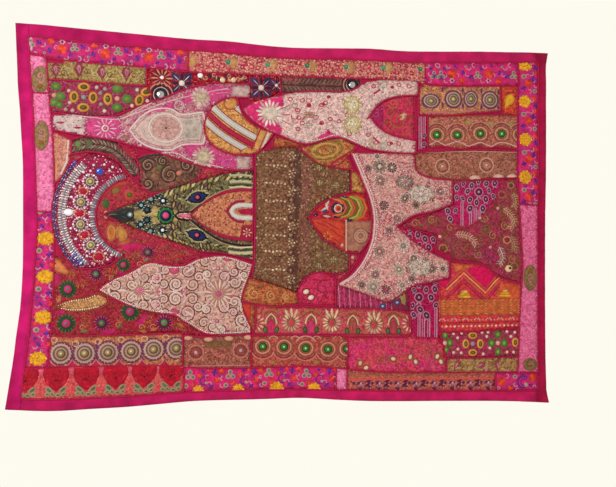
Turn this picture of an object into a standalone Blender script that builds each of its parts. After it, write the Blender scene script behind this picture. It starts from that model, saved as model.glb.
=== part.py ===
"""A landscape patchwork wall hanging, pinned by its corners to a wall.

X runs to the viewer's right and Z up. The wall is the plane y = 0, and the cloth hangs in front of it, on
the -Y side. The origin is on the wall, behind the middle of the top edge. Lengths in the tables are
millimetres.
"""

import math

import bmesh
import bpy
from mathutils import Vector
from mathutils.geometry import delaunay_2d_cdt, intersect_point_line

MM = 0.001

# Cloth thicknesses and the clearance that touching pieces keep
BAND_THICK = 2.2 * MM
STRIP_THICK = 2.6 * MM
GROUND_THICK = 2.6 * MM
APPLIQUE_THICK = 1.6 * MM
SEAM_GAP = 0.3 * MM
APPLIQUE_LIFT = 0.4 * MM

# Mesh spacing along and across the pieces. A place nearer to an appliqué's rim than RIM_CLEAR is left
# out, or the triangles there would be slivers.
APPLIQUE_STEP = 27 * MM
RIM_CLEAR = 15 * MM
OUTLINE_STEP = 17 * MM
GROUND_COLUMN_COUNT, GROUND_ROW_COUNT = 36, 22
STRIP_COLUMN_COUNT = STRIP_ROW_COUNT = 2
# The rolled sides take more lines, spaced so that they follow the roll
LEFT_ROLL_SHARES = (0.0, 0.22, 0.42, 0.7, 1.0)
RIGHT_ROLL_SHARES = (0.0, 0.4, 0.65, 1.0)
# Rounds that a column line and a row line take to settle on the place where they meet
CROSSING_ROUNDS = 12

# How the cloth stands off the wall
CORNER_STAND_OFF = 0.6 * MM
EDGE_STAND_OFF = 7.0 * MM
CORNER_REACH = 70 * MM
BELLY = 5.0 * MM
LEFT_ROLL, LEFT_ROLL_WIDTH = 4.5 * MM, 26 * MM
RIGHT_ROLL, RIGHT_ROLL_WIDTH = 6.0 * MM, 15 * MM
CORNERS = ((-762, 27), (760, 28), (-762, -1005), (760, -1005))

# The hanging's sides. Each row is a station along the side and the side's place across it: x, z for the
# lines that run across, and z, x for those that run down.
TOP_EDGE = (
    (-762, 27), (-600, 20), (-450, 14), (-300, 8), (-190, 7), (-90, 2), (0, 0),
    (115, 5), (217, 9), (320, 8), (430, 13), (540, 19), (650, 23), (760, 28),
)
TOP_SEAM = (
    (-725, -8), (-600, -18), (-450, -23), (-300, -25), (-190, -28), (-90, -32), (20, -33),
    (115, -29), (217, -27), (320, -26), (430, -21), (540, -15), (650, -9), (725, -5),
)
TOP_STRIP_END = (
    (-725, -56), (-600, -70), (-450, -74), (-300, -82), (-90, -80), (115, -78),
    (320, -76), (400, -86), (500, -84), (600, -78), (663, -76),
)
BOTTOM_EDGE = (
    (-762, -1005), (-640, -1009), (-545, -1005), (-453, -1001), (-360, -994), (-266, -987),
    (-74, -984), (24, -982), (123, -988), (224, -993), (430, -995), (641, -998), (760, -1005),
)
BOTTOM_SEAM = (
    (-719, -975), (-640, -977), (-453, -971), (-360, -965), (-266, -960), (-74, -957),
    (24, -957), (123, -959), (224, -962), (430, -965), (722, -967),
)
BOTTOM_STRIP_START = (
    (-718, -896), (-520, -893), (-305, -894), (-240, -901), (-110, -900), (50, -897),
    (155, -905), (250, -914), (430, -916), (722, -917),
)
LEFT_EDGE = (
    (27, -762), (-73, -755), (-141, -751), (-208, -744), (-275, -739), (-343, -733), (-480, -729),
    (-620, -726), (-677, -727), (-743, -730), (-809, -738), (-875, -744), (-941, -753), (-1005, -762),
)
LEFT_SEAM = (
    (30, -725), (-8, -725), (-100, -718), (-160, -712), (-240, -705), (-340, -700), (-440, -694),
    (-530, -690), (-600, -692), (-670, -695), (-750, -700), (-825, -705), (-900, -713),
    (-975, -719), (-1012, -721),
)
LEFT_STRIP_END = (
    (-56, -682), (-120, -676), (-200, -668), (-270, -660), (-340, -655), (-440, -651),
    (-640, -648), (-740, -650), (-830, -652), (-896, -655),
)
RIGHT_EDGE = (
    (28, 760), (8, 755), (-20, 752), (-100, 751), (-200, 751), (-345, 750), (-450, 748), (-600, 747),
    (-800, 747), (-900, 748), (-960, 750), (-985, 754), (-1005, 760),
)
RIGHT_SEAM = (
    (32, 725), (-5, 725), (-100, 724), (-345, 724), (-450, 722), (-700, 722), (-967, 722), (-1010, 722),
)
RIGHT_STRIP_START = (
    (0, 662), (-76, 663), (-170, 664), (-270, 662), (-350, 663), (-450, 670), (-550, 676),
    (-600, 679), (-700, 672), (-790, 668), (-870, 665), (-920, 662),
)

# Soft folds: each runs from one point to another and rises towards the viewer with a rounded profile
FOLDS = (
    # from x, from z, to x, to z, rise, half width
    (-700, -20, -380, -170, 2.6, 50),
    (700, -20, 480, -150, 2.4, 48),
    (-190, 10, -215, -90, 3.0, 42),
    (-60, 0, -80, -120, -1.8, 45),
    (217, 10, 205, -80, 2.4, 45),
    (-640, -1000, -520, -860, 3.0, 55),
    (24, -985, 10, -860, -2.0, 55),
    (330, -990, 300, -900, 2.0, 55),
    (640, -980, 520, -850, 2.2, 55),
    (-560, -420, -520, -700, 1.8, 70),
    (250, -380, 330, -640, 1.6, 80),
)

# Appliqués: x, z of the points round each. One marked CORNER is sharp, and the outline runs smoothly
# between those.
CORNER = True
LEAF_YOKE = (
    (-518, -485, CORNER), (-460, -462), (-400, -438), (-350, -416), (-300, -399), (-250, -384),
    (-200, -368), (-118, -354, CORNER), (-118, -403, CORNER), (-155, -404), (-200, -414),
    (-250, -442), (-289, -480, CORNER), (-250, -514), (-200, -541), (-155, -549),
    (-118, -549, CORNER), (-116, -598, CORNER), (-200, -581), (-260, -578), (-300, -562),
    (-400, -531), (-460, -508),
)
SALMON_BIB = (
    (-284, -480, CORNER), (-248, -446), (-198, -418), (-155, -407), (-118, -406, CORNER),
    (-118, -546, CORNER), (-155, -545), (-198, -537), (-248, -510),
)
PINK_YOKE = (
    (-657, -222, CORNER), (-600, -218), (-500, -220), (-455, -202), (-400, -176), (-350, -156),
    (-300, -133), (-240, -117), (-190, -113), (-130, -113, CORNER), (-130, -147, CORNER),
    (-165, -148), (-202, -155), (-236, -181), (-256, -225), (-247, -269), (-214, -300),
    (-172, -312), (-120, -313, CORNER), (-119, -348, CORNER), (-165, -352), (-250, -345),
    (-350, -318), (-400, -302), (-450, -292), (-500, -280), (-600, -267), (-657, -258, CORNER),
)
STRIPED_MEDALLION = (
    (-165, -153), (-200, -160), (-232, -184), (-251, -225), (-243, -266), (-212, -295),
    (-172, -307), (-125, -306), (-104, -300, CORNER), (-80, -270), (-62, -247, CORNER),
    (-97, -237), (-130, -219), (-152, -194), (-162, -168),
)
WHITE_YOKE = (
    (-146, -183, CORNER), (-120, -165), (-85, -152), (-40, -140), (0, -130), (60, -124), (140, -122),
    (175, -109), (205, -91), (240, -83), (300, -80), (356, -80, CORNER), (356, -118, CORNER),
    (300, -123), (255, -138), (230, -160), (213, -186, CORNER), (232, -212), (262, -233),
    (300, -245), (350, -253, CORNER), (350, -287, CORNER), (300, -287), (250, -284), (205, -277),
    (160, -259), (125, -249), (85, -256), (45, -270), (10, -269), (-40, -250), (-85, -232),
    (-122, -208),
)
BROWN_SEQUIN_PANEL = (
    (-109, -303, CORNER), (-60, -290), (-10, -285), (15, -290), (45, -315), (85, -336),
    (157, -343, CORNER), (157, -404, CORNER), (108, -421), (66, -445), (38, -478, CORNER),
    (58, -513), (95, -549), (157, -580, CORNER), (157, -628, CORNER), (120, -636), (85, -629),
    (42, -638), (17, -661), (10, -688, CORNER), (-50, -668), (-120, -648, CORNER), (-108, -610),
)
LENS_INSERT = (
    (43, -478, CORNER), (68, -450), (108, -426), (157, -409), (201, -410, CORNER), (216, -452),
    (220, -500), (209, -546), (186, -575, CORNER), (150, -572), (100, -545), (62, -508),
)
LACE_YOKE = (
    (162, -294, CORNER), (345, -292, CORNER), (348, -332), (370, -352), (410, -361),
    (461, -364, CORNER), (459, -430, CORNER), (400, -453), (345, -466), (294, -500, CORNER),
    (345, -543), (400, -575), (452, -597, CORNER), (450, -642, CORNER), (400, -655), (340, -668),
    (300, -698), (265, -712), (225, -698), (180, -682), (127, -667, CORNER), (166, -640),
    (197, -600), (219, -550), (227, -500), (223, -450), (208, -400), (187, -350),
)
SCROLL_YOKE = (
    (-526, -688, CORNER), (-490, -661), (-450, -644), (-415, -623), (-390, -614), (-345, -623),
    (-300, -621), (-265, -603), (-225, -595), (-180, -595), (-117, -614, CORNER), (-126, -645),
    (-137, -675), (-146, -710), (-140, -745), (-120, -785), (-119, -801, CORNER), (-200, -805),
    (-240, -803), (-270, -786), (-300, -769), (-325, -751), (-380, -745), (-450, -726),
)

# The beaded crescent is set out with a compass: its two rims are arcs about two centres
CRESCENT_OUTER = {"centre": (-450, -482), "radius": 203, "from_deg": 139, "to_deg": 227}
CRESCENT_INNER = {"centre": (-437, -488), "radius": 105, "from_deg": 256, "to_deg": 104}
CRESCENT_TOP_END = ((-560, -321), (-520, -326), (-482, -346))
CRESCENT_BOTTOM_END = ((-540, -629), (-500, -619))

# Colours, linear
COLOURS = {
    "band": (0.52, 0.012, 0.11),
    "strip": (0.50, 0.05, 0.22),
    "ground": (0.42, 0.02, 0.05),
    "crescent_neckpiece": (0.36, 0.02, 0.08),
    "leaf_yoke": (0.20, 0.17, 0.08),
    "salmon_bib": (0.62, 0.22, 0.11),
    "pink_yoke": (0.62, 0.26, 0.33),
    "striped_medallion": (0.60, 0.32, 0.14),
    "white_yoke": (0.62, 0.45, 0.40),
    "brown_sequin_panel": (0.18, 0.10, 0.06),
    "lens_insert": (0.60, 0.06, 0.05),
    "lace_yoke": (0.52, 0.34, 0.27),
    "scroll_yoke": (0.56, 0.38, 0.30),
}


def clear_scene():
    for old in list(bpy.data.objects):
        bpy.data.objects.remove(old)


def hermite(start, start_slope, end, end_slope, share):
    """A point of the smooth curve from start to end that leaves and arrives at these slopes."""
    t = share
    return (
        (1 + 2 * t) * (1 - t) ** 2 * start
        + t * (1 - t) ** 2 * start_slope
        + t * t * (3 - 2 * t) * end
        - t * t * (1 - t) * end_slope
    )


def side(table):
    """A function from a station to the side's place there, in metres, smooth through the table's rows."""
    rows = sorted((along * MM, across * MM) for along, across in table)
    last = len(rows) - 1

    def slope(i):
        (s0, p0), (s1, p1) = rows[max(i - 1, 0)], rows[min(i + 1, last)]
        return (p1 - p0) / (s1 - s0)

    def place(station):
        s = min(max(station, rows[0][0]), rows[-1][0])
        i = max(k for k in range(last) if rows[k][0] <= s)
        (s0, p0), (s1, p1) = rows[i], rows[i + 1]
        length = s1 - s0
        return hermite(p0, slope(i) * length, p1, slope(i + 1) * length, (s - s0) / length)

    return place


top_edge, top_seam, top_strip_end = side(TOP_EDGE), side(TOP_SEAM), side(TOP_STRIP_END)
bottom_edge, bottom_seam = side(BOTTOM_EDGE), side(BOTTOM_SEAM)
bottom_strip_start = side(BOTTOM_STRIP_START)
left_edge, left_seam, left_strip_end = side(LEFT_EDGE), side(LEFT_SEAM), side(LEFT_STRIP_END)
right_edge, right_seam = side(RIGHT_EDGE), side(RIGHT_SEAM)
right_strip_start = side(RIGHT_STRIP_START)


def eased(share):
    share = min(max(share, 0.0), 1.0)
    return share * share * (3 - 2 * share)


def stand_off(x, z):
    """How far the cloth's back is from the wall at this place."""
    from_left, from_right = x - left_edge(z), right_edge(z) - x
    across = min(max(from_left / (from_left + from_right), 0.0), 1.0)
    down = min(max((top_edge(x) - z) / (top_edge(x) - bottom_edge(x)), 0.0), 1.0)
    depth = EDGE_STAND_OFF + BELLY * math.sin(math.pi * across) * math.sin(math.pi * down)
    for x0, z0, x1, z1, rise, half_width in FOLDS:
        start, end = Vector((x0, z0, 0)) * MM, Vector((x1, z1, 0)) * MM
        spot, share = intersect_point_line(Vector((x, z, 0)), start, end)
        past_end = max(-share, share - 1, 0.0) * (end - start).length
        distance = math.hypot((Vector((x, z, 0)) - spot).length, past_end)
        depth += rise * MM * math.exp(-((distance / (half_width * MM)) ** 2))
    # The sides roll back towards the wall
    depth -= LEFT_ROLL * eased(1 - from_left / LEFT_ROLL_WIDTH)
    depth -= RIGHT_ROLL * eased(1 - from_right / RIGHT_ROLL_WIDTH)
    # The pins hold the corners against the wall
    for corner_x, corner_z in CORNERS:
        away = math.hypot(x - corner_x * MM, z - corner_z * MM)
        held = 1 - eased(away / CORNER_REACH)
        depth += held * (CORNER_STAND_OFF - depth)
    return max(depth, CORNER_STAND_OFF)


def material(name):
    made = bpy.data.materials.get(name) or bpy.data.materials.new(name)
    made.use_nodes = True
    shader = made.node_tree.nodes["Principled BSDF"]
    shader.inputs["Base Color"].default_value = (*COLOURS[name], 1.0)
    shader.inputs["Roughness"].default_value = 0.85
    shader.inputs["Metallic"].default_value = 0.0
    return made


def finish(name, mesh_data, colour):
    """Makes the sheet's mesh an object, with its faces turned out."""
    work = bmesh.new()
    work.from_mesh(mesh_data)
    bmesh.ops.recalc_face_normals(work, faces=work.faces)
    bmesh.ops.triangulate(work, faces=work.faces)
    work.to_mesh(mesh_data)
    work.free()
    mesh_data.materials.append(material(colour))
    mesh_data.shade_smooth()
    mesh_data.set_sharp_from_angle(angle=math.radians(50))
    made = bpy.data.objects.new(name, mesh_data)
    bpy.context.scene.collection.objects.link(made)
    return made


def sheet_mesh(name, places, faces, rim, lift, thick):
    """A closed sheet: the faces at the back, the same faces in front, and a wall along the rim."""
    back = [(x, -(stand_off(x, z) + lift), z) for x, z in places]
    front = [(x, y - thick, z) for x, y, z in back]
    count = len(places)
    walls = [(a, b, b + count, a + count) for a, b in zip(rim, rim[1:] + rim[:1], strict=True)]
    fronts = [tuple(i + count for i in reversed(face)) for face in faces]
    made = bpy.data.meshes.new(name)
    made.from_pydata(back + front, [], [*faces, *fronts, *walls])
    return made


def moved(line, by):
    """The line, shifted by this much."""
    return lambda station: line(station) + by


def lines_between(first, last, shares):
    """Lines from first to last, at these shares of the way between them."""
    return [
        lambda station, s=share: first(station) + s * (last(station) - first(station))
        for share in shares
    ]


def joined(*runs):
    """Runs of lines, each starting with the line that the one before ends with, as one run."""
    lines = list(runs[0])
    for run in runs[1:]:
        lines += run[1:]
    return lines


def evenly(count):
    """Shares that divide a way into this many equal lengths."""
    return [i / count for i in range(count + 1)]


# The hanging is set out as one net of lines, and each cut of cloth takes a block of it, so that the
# corners of neighbours face each other. A column line gives x for a height, a row line z for a place.
LEFT_BAND_COLUMNS = lines_between(left_edge, left_seam, LEFT_ROLL_SHARES)
LEFT_STRIP_COLUMNS = lines_between(left_seam, left_strip_end, evenly(STRIP_COLUMN_COUNT))
GROUND_COLUMNS = lines_between(left_strip_end, right_strip_start, evenly(GROUND_COLUMN_COUNT))
RIGHT_STRIP_COLUMNS = lines_between(right_strip_start, right_seam, evenly(STRIP_COLUMN_COUNT))
RIGHT_BAND_COLUMNS = lines_between(right_seam, right_edge, RIGHT_ROLL_SHARES)
TOP_BAND_ROWS = lines_between(top_edge, top_seam, evenly(1))
TOP_STRIP_ROWS = lines_between(top_seam, top_strip_end, evenly(STRIP_ROW_COUNT))
GROUND_ROWS = lines_between(top_strip_end, bottom_strip_start, evenly(GROUND_ROW_COUNT))
BOTTOM_STRIP_ROWS = lines_between(bottom_strip_start, bottom_seam, evenly(STRIP_ROW_COUNT))
BOTTOM_BAND_ROWS = lines_between(bottom_seam, bottom_edge, evenly(1))

ALL_ROWS = joined(TOP_BAND_ROWS, TOP_STRIP_ROWS, GROUND_ROWS, BOTTOM_STRIP_ROWS, BOTTOM_BAND_ROWS)
STRIP_AND_GROUND_ROWS = joined(TOP_STRIP_ROWS, GROUND_ROWS)
INNER_COLUMNS = joined(LEFT_STRIP_COLUMNS, GROUND_COLUMNS, RIGHT_STRIP_COLUMNS)
TOP_STRIP_COLUMNS = joined(LEFT_STRIP_COLUMNS, GROUND_COLUMNS)


def crossing(column, row):
    """Where a column line meets a row line."""
    x = 0.0
    for _ in range(CROSSING_ROUNDS):
        z = row(x)
        x = column(z)
    return x, z


def cut(name, columns, rows, thick, colour, outer=()):
    """A block of the net as a sheet of cloth, half a gap short of each side that isn't an outer one."""
    half = SEAM_GAP / 2
    columns, rows = list(columns), list(rows)
    if "left" not in outer:
        columns[0] = moved(columns[0], half)
    if "right" not in outer:
        columns[-1] = moved(columns[-1], -half)
    if "top" not in outer:
        rows[0] = moved(rows[0], -half)
    if "bottom" not in outer:
        rows[-1] = moved(rows[-1], half)
    places = [crossing(column, row) for row in rows for column in columns]
    n, m = len(columns), len(rows)
    faces = [
        (j * n + i, j * n + i + 1, (j + 1) * n + i + 1, (j + 1) * n + i)
        for j in range(m - 1)
        for i in range(n - 1)
    ]
    rim = list(range(n))
    rim += [j * n + n - 1 for j in range(1, m)]
    rim += [(m - 1) * n + i for i in range(n - 2, -1, -1)]
    rim += [j * n for j in range(m - 2, 0, -1)]
    return finish(name, sheet_mesh(name, places, faces, rim, 0.0, thick), colour)


def corner_or(neighbour, point):
    """The neighbour that a smooth outline bends towards, or the point itself at a sharp corner."""
    return point if len(point) > 2 else neighbour


def smooth_outline(points):
    """The outline as a loop of places about OUTLINE_STEP apart, in metres."""
    n = len(points)
    loop = []
    for i in range(n):
        start, end = points[i], points[(i + 1) % n]
        before = corner_or(points[i - 1], start)
        after = corner_or(points[(i + 2) % n], end)
        length = math.dist(start[:2], end[:2]) * MM
        steps = max(1, round(length / OUTLINE_STEP))
        for k in range(steps):
            loop.append(tuple(
                hermite(start[c], (end[c] - before[c]) / 2, end[c], (after[c] - start[c]) / 2, k / steps)
                * MM
                for c in (0, 1)
            ))
    return loop


def inside(loop, x, z):
    """True where the place lies within the loop."""
    odd = False
    for (x0, z0), (x1, z1) in zip(loop, loop[1:] + loop[:1], strict=True):
        if (z0 > z) != (z1 > z) and x < (x1 - x0) * (z - z0) / (z1 - z0) + x0:
            odd = not odd
    return odd


def clear_of_rim(loop, x, z):
    """Distance from the place to the loop's nearest point."""
    return min(math.dist((x, z), p) for p in loop)


def applique(name, loop, lift=GROUND_THICK + APPLIQUE_LIFT):
    """A shaped piece laid on the ground cloth, its mesh fine enough to follow the folds."""
    xs, zs = [p[0] for p in loop], [p[1] for p in loop]
    inner = []
    z, row = min(zs), 0
    while z < max(zs):
        x = min(xs) + (row % 2) * APPLIQUE_STEP / 2
        while x < max(xs):
            if inside(loop, x, z) and clear_of_rim(loop, x, z) > RIM_CLEAR:
                inner.append((x, z))
            x += APPLIQUE_STEP
        z += APPLIQUE_STEP * math.sqrt(3) / 2
        row += 1
    rim_edges = [(i, (i + 1) % len(loop)) for i in range(len(loop))]
    flat = [Vector(p) for p in loop + inner]
    found = delaunay_2d_cdt(flat, rim_edges, [], 1, 1e-6)
    places, faces, origins = found[0], found[2], found[3]
    kept = {old[0]: new for new, old in enumerate(origins) if old}
    rim = [kept[i] for i in range(len(loop))]
    places = [(p.x, p.y) for p in places]
    return finish(
        name, sheet_mesh(name, places, [tuple(f) for f in faces], rim, lift, APPLIQUE_THICK), name
    )


def arc(centre, radius, from_deg, to_deg):
    """Places along a compass arc, about OUTLINE_STEP apart."""
    sweep = math.radians(to_deg - from_deg)
    steps = max(2, round(abs(sweep) * radius * MM / OUTLINE_STEP))
    places = []
    for i in range(steps + 1):
        turn = math.radians(from_deg) + sweep * i / steps
        places.append(((centre[0] + radius * math.cos(turn)) * MM,
                       (centre[1] + radius * math.sin(turn)) * MM))
    return places


def crescent_loop():
    bottom = [(x * MM, z * MM) for x, z in CRESCENT_BOTTOM_END]
    top = [(x * MM, z * MM) for x, z in reversed(CRESCENT_TOP_END)]
    return arc(**CRESCENT_OUTER) + bottom + arc(**CRESCENT_INNER) + top


def build():
    clear_scene()

    # Border bands. The side bands run the whole height and the others butt against them.
    cut("band_left", LEFT_BAND_COLUMNS, ALL_ROWS, BAND_THICK, "band", outer=("left", "top", "bottom"))
    cut("band_right", RIGHT_BAND_COLUMNS, ALL_ROWS, BAND_THICK, "band", outer=("right", "top", "bottom"))
    cut("band_top", INNER_COLUMNS, TOP_BAND_ROWS, BAND_THICK, "band", outer=("top",))
    cut("band_bottom", INNER_COLUMNS, BOTTOM_BAND_ROWS, BAND_THICK, "band", outer=("bottom",))

    # Strips cut from sari borders, inside the bands
    cut("strip_top", TOP_STRIP_COLUMNS, TOP_STRIP_ROWS, STRIP_THICK, "strip")
    cut("strip_right", RIGHT_STRIP_COLUMNS, STRIP_AND_GROUND_ROWS, STRIP_THICK, "strip")
    cut("strip_bottom", INNER_COLUMNS, BOTTOM_STRIP_ROWS, STRIP_THICK, "strip")
    cut("strip_left", LEFT_STRIP_COLUMNS, GROUND_ROWS, STRIP_THICK, "strip")

    # The ground cloth that carries the patchwork
    cut("collage_ground", GROUND_COLUMNS, GROUND_ROWS, GROUND_THICK, "ground")

    # Garment yokes and other large pieces, laid on the ground and sewn down round their edges
    applique("crescent_neckpiece", crescent_loop())
    for name, points in (
        ("leaf_yoke", LEAF_YOKE),
        ("salmon_bib", SALMON_BIB),
        ("pink_yoke", PINK_YOKE),
        ("striped_medallion", STRIPED_MEDALLION),
        ("white_yoke", WHITE_YOKE),
        ("brown_sequin_panel", BROWN_SEQUIN_PANEL),
        ("lens_insert", LENS_INSERT),
        ("lace_yoke", LACE_YOKE),
        ("scroll_yoke", SCROLL_YOKE),
    ):
        applique(name, smooth_outline(points))


build()
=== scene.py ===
import math

import bpy
import numpy as np
from mathutils import Matrix, Vector
from mathutils.bvhtree import BVHTree
from mathutils.geometry import delaunay_2d_cdt


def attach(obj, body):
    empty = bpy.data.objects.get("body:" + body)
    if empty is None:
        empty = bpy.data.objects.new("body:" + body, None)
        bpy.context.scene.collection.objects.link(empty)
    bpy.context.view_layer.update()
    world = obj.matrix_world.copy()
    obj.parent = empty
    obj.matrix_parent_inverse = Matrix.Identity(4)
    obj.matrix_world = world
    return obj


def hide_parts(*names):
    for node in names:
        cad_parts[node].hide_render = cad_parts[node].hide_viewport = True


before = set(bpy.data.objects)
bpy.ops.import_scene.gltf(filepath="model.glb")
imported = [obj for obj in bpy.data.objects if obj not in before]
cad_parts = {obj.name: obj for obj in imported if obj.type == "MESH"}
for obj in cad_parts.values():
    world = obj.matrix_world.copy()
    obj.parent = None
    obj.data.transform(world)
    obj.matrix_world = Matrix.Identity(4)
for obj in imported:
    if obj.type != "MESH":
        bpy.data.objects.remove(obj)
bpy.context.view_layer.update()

MM = 0.001

# Camera
# A hanging is shown nearly face on: the camera stands left of the middle and a little below eye
# level, behind a 50 mm lens, so the right-hand side runs away from it.
camera_data = bpy.data.cameras.new("camera")
camera_data.lens = 50
camera_data.sensor_width = 36
camera_data.clip_start, camera_data.clip_end = 0.05, 60
camera = bpy.data.objects.new("camera", camera_data)
bpy.context.scene.collection.objects.link(camera)
yaw, pitch, roll = math.radians(-9.373), math.radians(2.739), math.radians(-0.601)
camera.matrix_world = (
    Matrix.Translation((-0.3495, -2.3725, -0.6674))
    @ Matrix.Rotation(yaw, 4, "Z")
    @ Matrix.Rotation(pitch, 4, "X")
    @ Matrix.Rotation(roll, 4, "Y")
    @ Matrix.Rotation(math.pi / 2, 4, "X")
)
bpy.context.scene.camera = camera

# Studio
# A warm white surround lights the cloth evenly, and one broad soft light from the upper left
# gives cords and beads their shaded side. The floor is a plain pale disc well below the hanging.
def linear(code):
    """An sRGB hex value as linear red, green and blue."""
    parts = [int(code[i : i + 2], 16) / 255 for i in (1, 3, 5)]
    return tuple(c / 12.92 if c <= 0.04045 else ((c + 0.055) / 1.055) ** 2.4 for c in parts)


def opaque(code):
    """An sRGB hex value as linear red, green, blue and full cover."""
    return (*linear(code), 1)


def add(tree, kind, inputs=(), **settings):
    """Adds a node with its settings, and its inputs as values or as sockets to link from."""
    made = tree.nodes.new(kind)
    for key, value in settings.items():
        setattr(made, key, value)
    for key, value in dict(inputs).items():
        if isinstance(value, bpy.types.NodeSocket):
            tree.links.new(value, made.inputs[key])
        else:
            made.inputs[key].default_value = value
    return made


def new_material(name):
    """A material with its node tree and its shader."""
    material = bpy.data.materials.new(name)
    material.use_nodes = True
    return material, material.node_tree, material.node_tree.nodes["Principled BSDF"]


def finish_of(shader, **values):
    """Sets the shader's own sockets: roughness=0.9 sets the one called Roughness."""
    for key, value in values.items():
        socket = key.replace("_", " ").title().replace("Ior", "IOR")
        shader.inputs[socket].default_value = value


bpy.context.scene.view_settings.view_transform = "Standard"
BACKDROP, SURROUND_LEVEL = "#FDFBEF", 0.5
world = bpy.data.worlds.new("studio")
bpy.context.scene.world = world
world.use_nodes = True
surround = world.node_tree
surround.nodes.clear()
path_kind = add(surround, "ShaderNodeLightPath")
seen = add(surround, "ShaderNodeBackground", {"Color": opaque(BACKDROP), "Strength": 1.0})
lighting = add(surround, "ShaderNodeBackground",
               {"Color": opaque("#FFFCF6"), "Strength": SURROUND_LEVEL})
both = add(surround, "ShaderNodeMixShader",
           {0: path_kind.outputs["Is Camera Ray"], 1: lighting.outputs[0], 2: seen.outputs[0]})
add(surround, "ShaderNodeOutputWorld", {"Surface": both.outputs[0]})

key_data = bpy.data.lights.new("soft_key", "AREA")
key_data.shape = "DISK"
key_data.size = 1.6
key_data.energy = 92
key = bpy.data.objects.new("soft_key", key_data)
key.location = (-2.3, -2.6, 0.9)
key.rotation_euler = (Vector((-0.05, 0, -0.5)) - key.location).to_track_quat("-Z", "Y").to_euler()
bpy.context.scene.collection.objects.link(key)

FLOOR_HEIGHT, FLOOR_RADIUS, FLOOR_SIDES = -2.05, 1.9, 96
floor_mesh = bpy.data.meshes.new("floor")
rim = [(FLOOR_RADIUS * math.cos(a), FLOOR_RADIUS * math.sin(a), FLOOR_HEIGHT)
       for a in np.linspace(0, 2 * math.pi, FLOOR_SIDES, endpoint=False)]
floor_mesh.from_pydata(rim, [], [tuple(range(FLOOR_SIDES))])
plaster, _, plaster_shader = new_material("matt floor paint")
finish_of(plaster_shader, base_color=opaque("#F2EFE6"), roughness=0.9)
floor_mesh.materials.append(plaster)
floor = bpy.data.objects.new("floor", floor_mesh)
bpy.context.scene.collection.objects.link(floor)

# Border bands
# Four cuts of plain magenta cotton, about 35 mm wide, with their edges turned under. Pins at the
# corners draw them out to points, and the side bands roll back a little towards the wall.
BASE_NODES = ("band_top", "band_bottom", "band_left", "band_right", "strip_top", "strip_bottom",
              "strip_left", "strip_right", "collage_ground")
LOWEST_X, LOWEST_Z, NET_STEP, NET_COLUMNS, NET_ROWS = -800.0, -1050.0, 16.0, 101, 70


def depth_net():
    """How far the back of the cloth is from the wall, read from the solids on a square net."""
    corners, faces = [], []
    for name in BASE_NODES:
        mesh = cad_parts[name].data
        faces += [[i + len(corners) for i in p.vertices] for p in mesh.polygons]
        corners += [v.co.copy() for v in mesh.vertices]
    solids = BVHTree.FromPolygons(corners, faces)
    net = np.full((NET_ROWS, NET_COLUMNS), np.nan)
    for row in range(NET_ROWS):
        for column in range(NET_COLUMNS):
            x, z = LOWEST_X + column * NET_STEP, LOWEST_Z + row * NET_STEP
            hit = solids.ray_cast(Vector((x * MM, 0.1, z * MM)), Vector((0, -1, 0)))[0]
            if hit is not None:
                net[row, column] = hit.y / MM
    while np.isnan(net).any():
        around = np.stack([np.roll(net, shift, axis) for axis in (0, 1) for shift in (-1, 1)])
        known = ~np.isnan(around)
        mean = np.where(known, around, 0).sum(0) / np.maximum(known.sum(0), 1)
        net = np.where(np.isnan(net) & known.any(0), mean, net)
    return net


depth_of_back = depth_net()

# Small creases pressed into the cloth, drawn one by one: from x, from z, to x, to z, rise and half width in
# mm
CREASES = ((-752, 20, -700, -60, 0.9, 9), (-758, 24, -660, 4, 0.8, 8), (752, 22, 690, -40, 1.0, 8),
    (756, 10, 738, -90, 0.9, 6), (-756, -1000, -690, -940, 0.9, 9), (-750, -1003, -640, -994, 0.7, 8),
    (755, -1000, 690, -950, 1.0, 8), (752, -990, 738, -900, 0.9, 6), (-215, 4, -205, -30, 0.8, 10),
    (-60, 0, -66, -32, -0.7, 12), (217, 8, 222, -26, 0.8, 10), (430, 10, 424, -20, -0.6, 12),
    (-480, 14, -486, -22, -0.6, 14), (-741, -240, -712, -252, 0.5, 14), (-733, -420, -700, -428, 0.5, 14),
    (-728, -640, -696, -633, 0.5, 14), (-736, -800, -704, -806, 0.6, 14),
    (-560, -1004, -552, -976, 0.7, 14), (-360, -992, -362, -966, -0.5, 14),
    (-120, -984, -116, -958, 0.6, 12), (240, -992, 236, -962, 0.6, 12), (520, -996, 516, -966, 0.5, 14),
    (640, -996, 652, -967, -0.5, 12), (740, -300, 724, -306, 0.4, 12), (740, -560, 724, -552, 0.4, 12),
    (740, -790, 724, -796, 0.4, 12))
# Slow unevenness of a cloth with many layers: wave lengths across and up, phase, and rise
WAVES = ((61, 83, 0.4, 0.22), (-47, 39, 1.9, 0.18), (29, -53, 3.1, 0.13), (35, 27, 5.0, 0.10))


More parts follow.
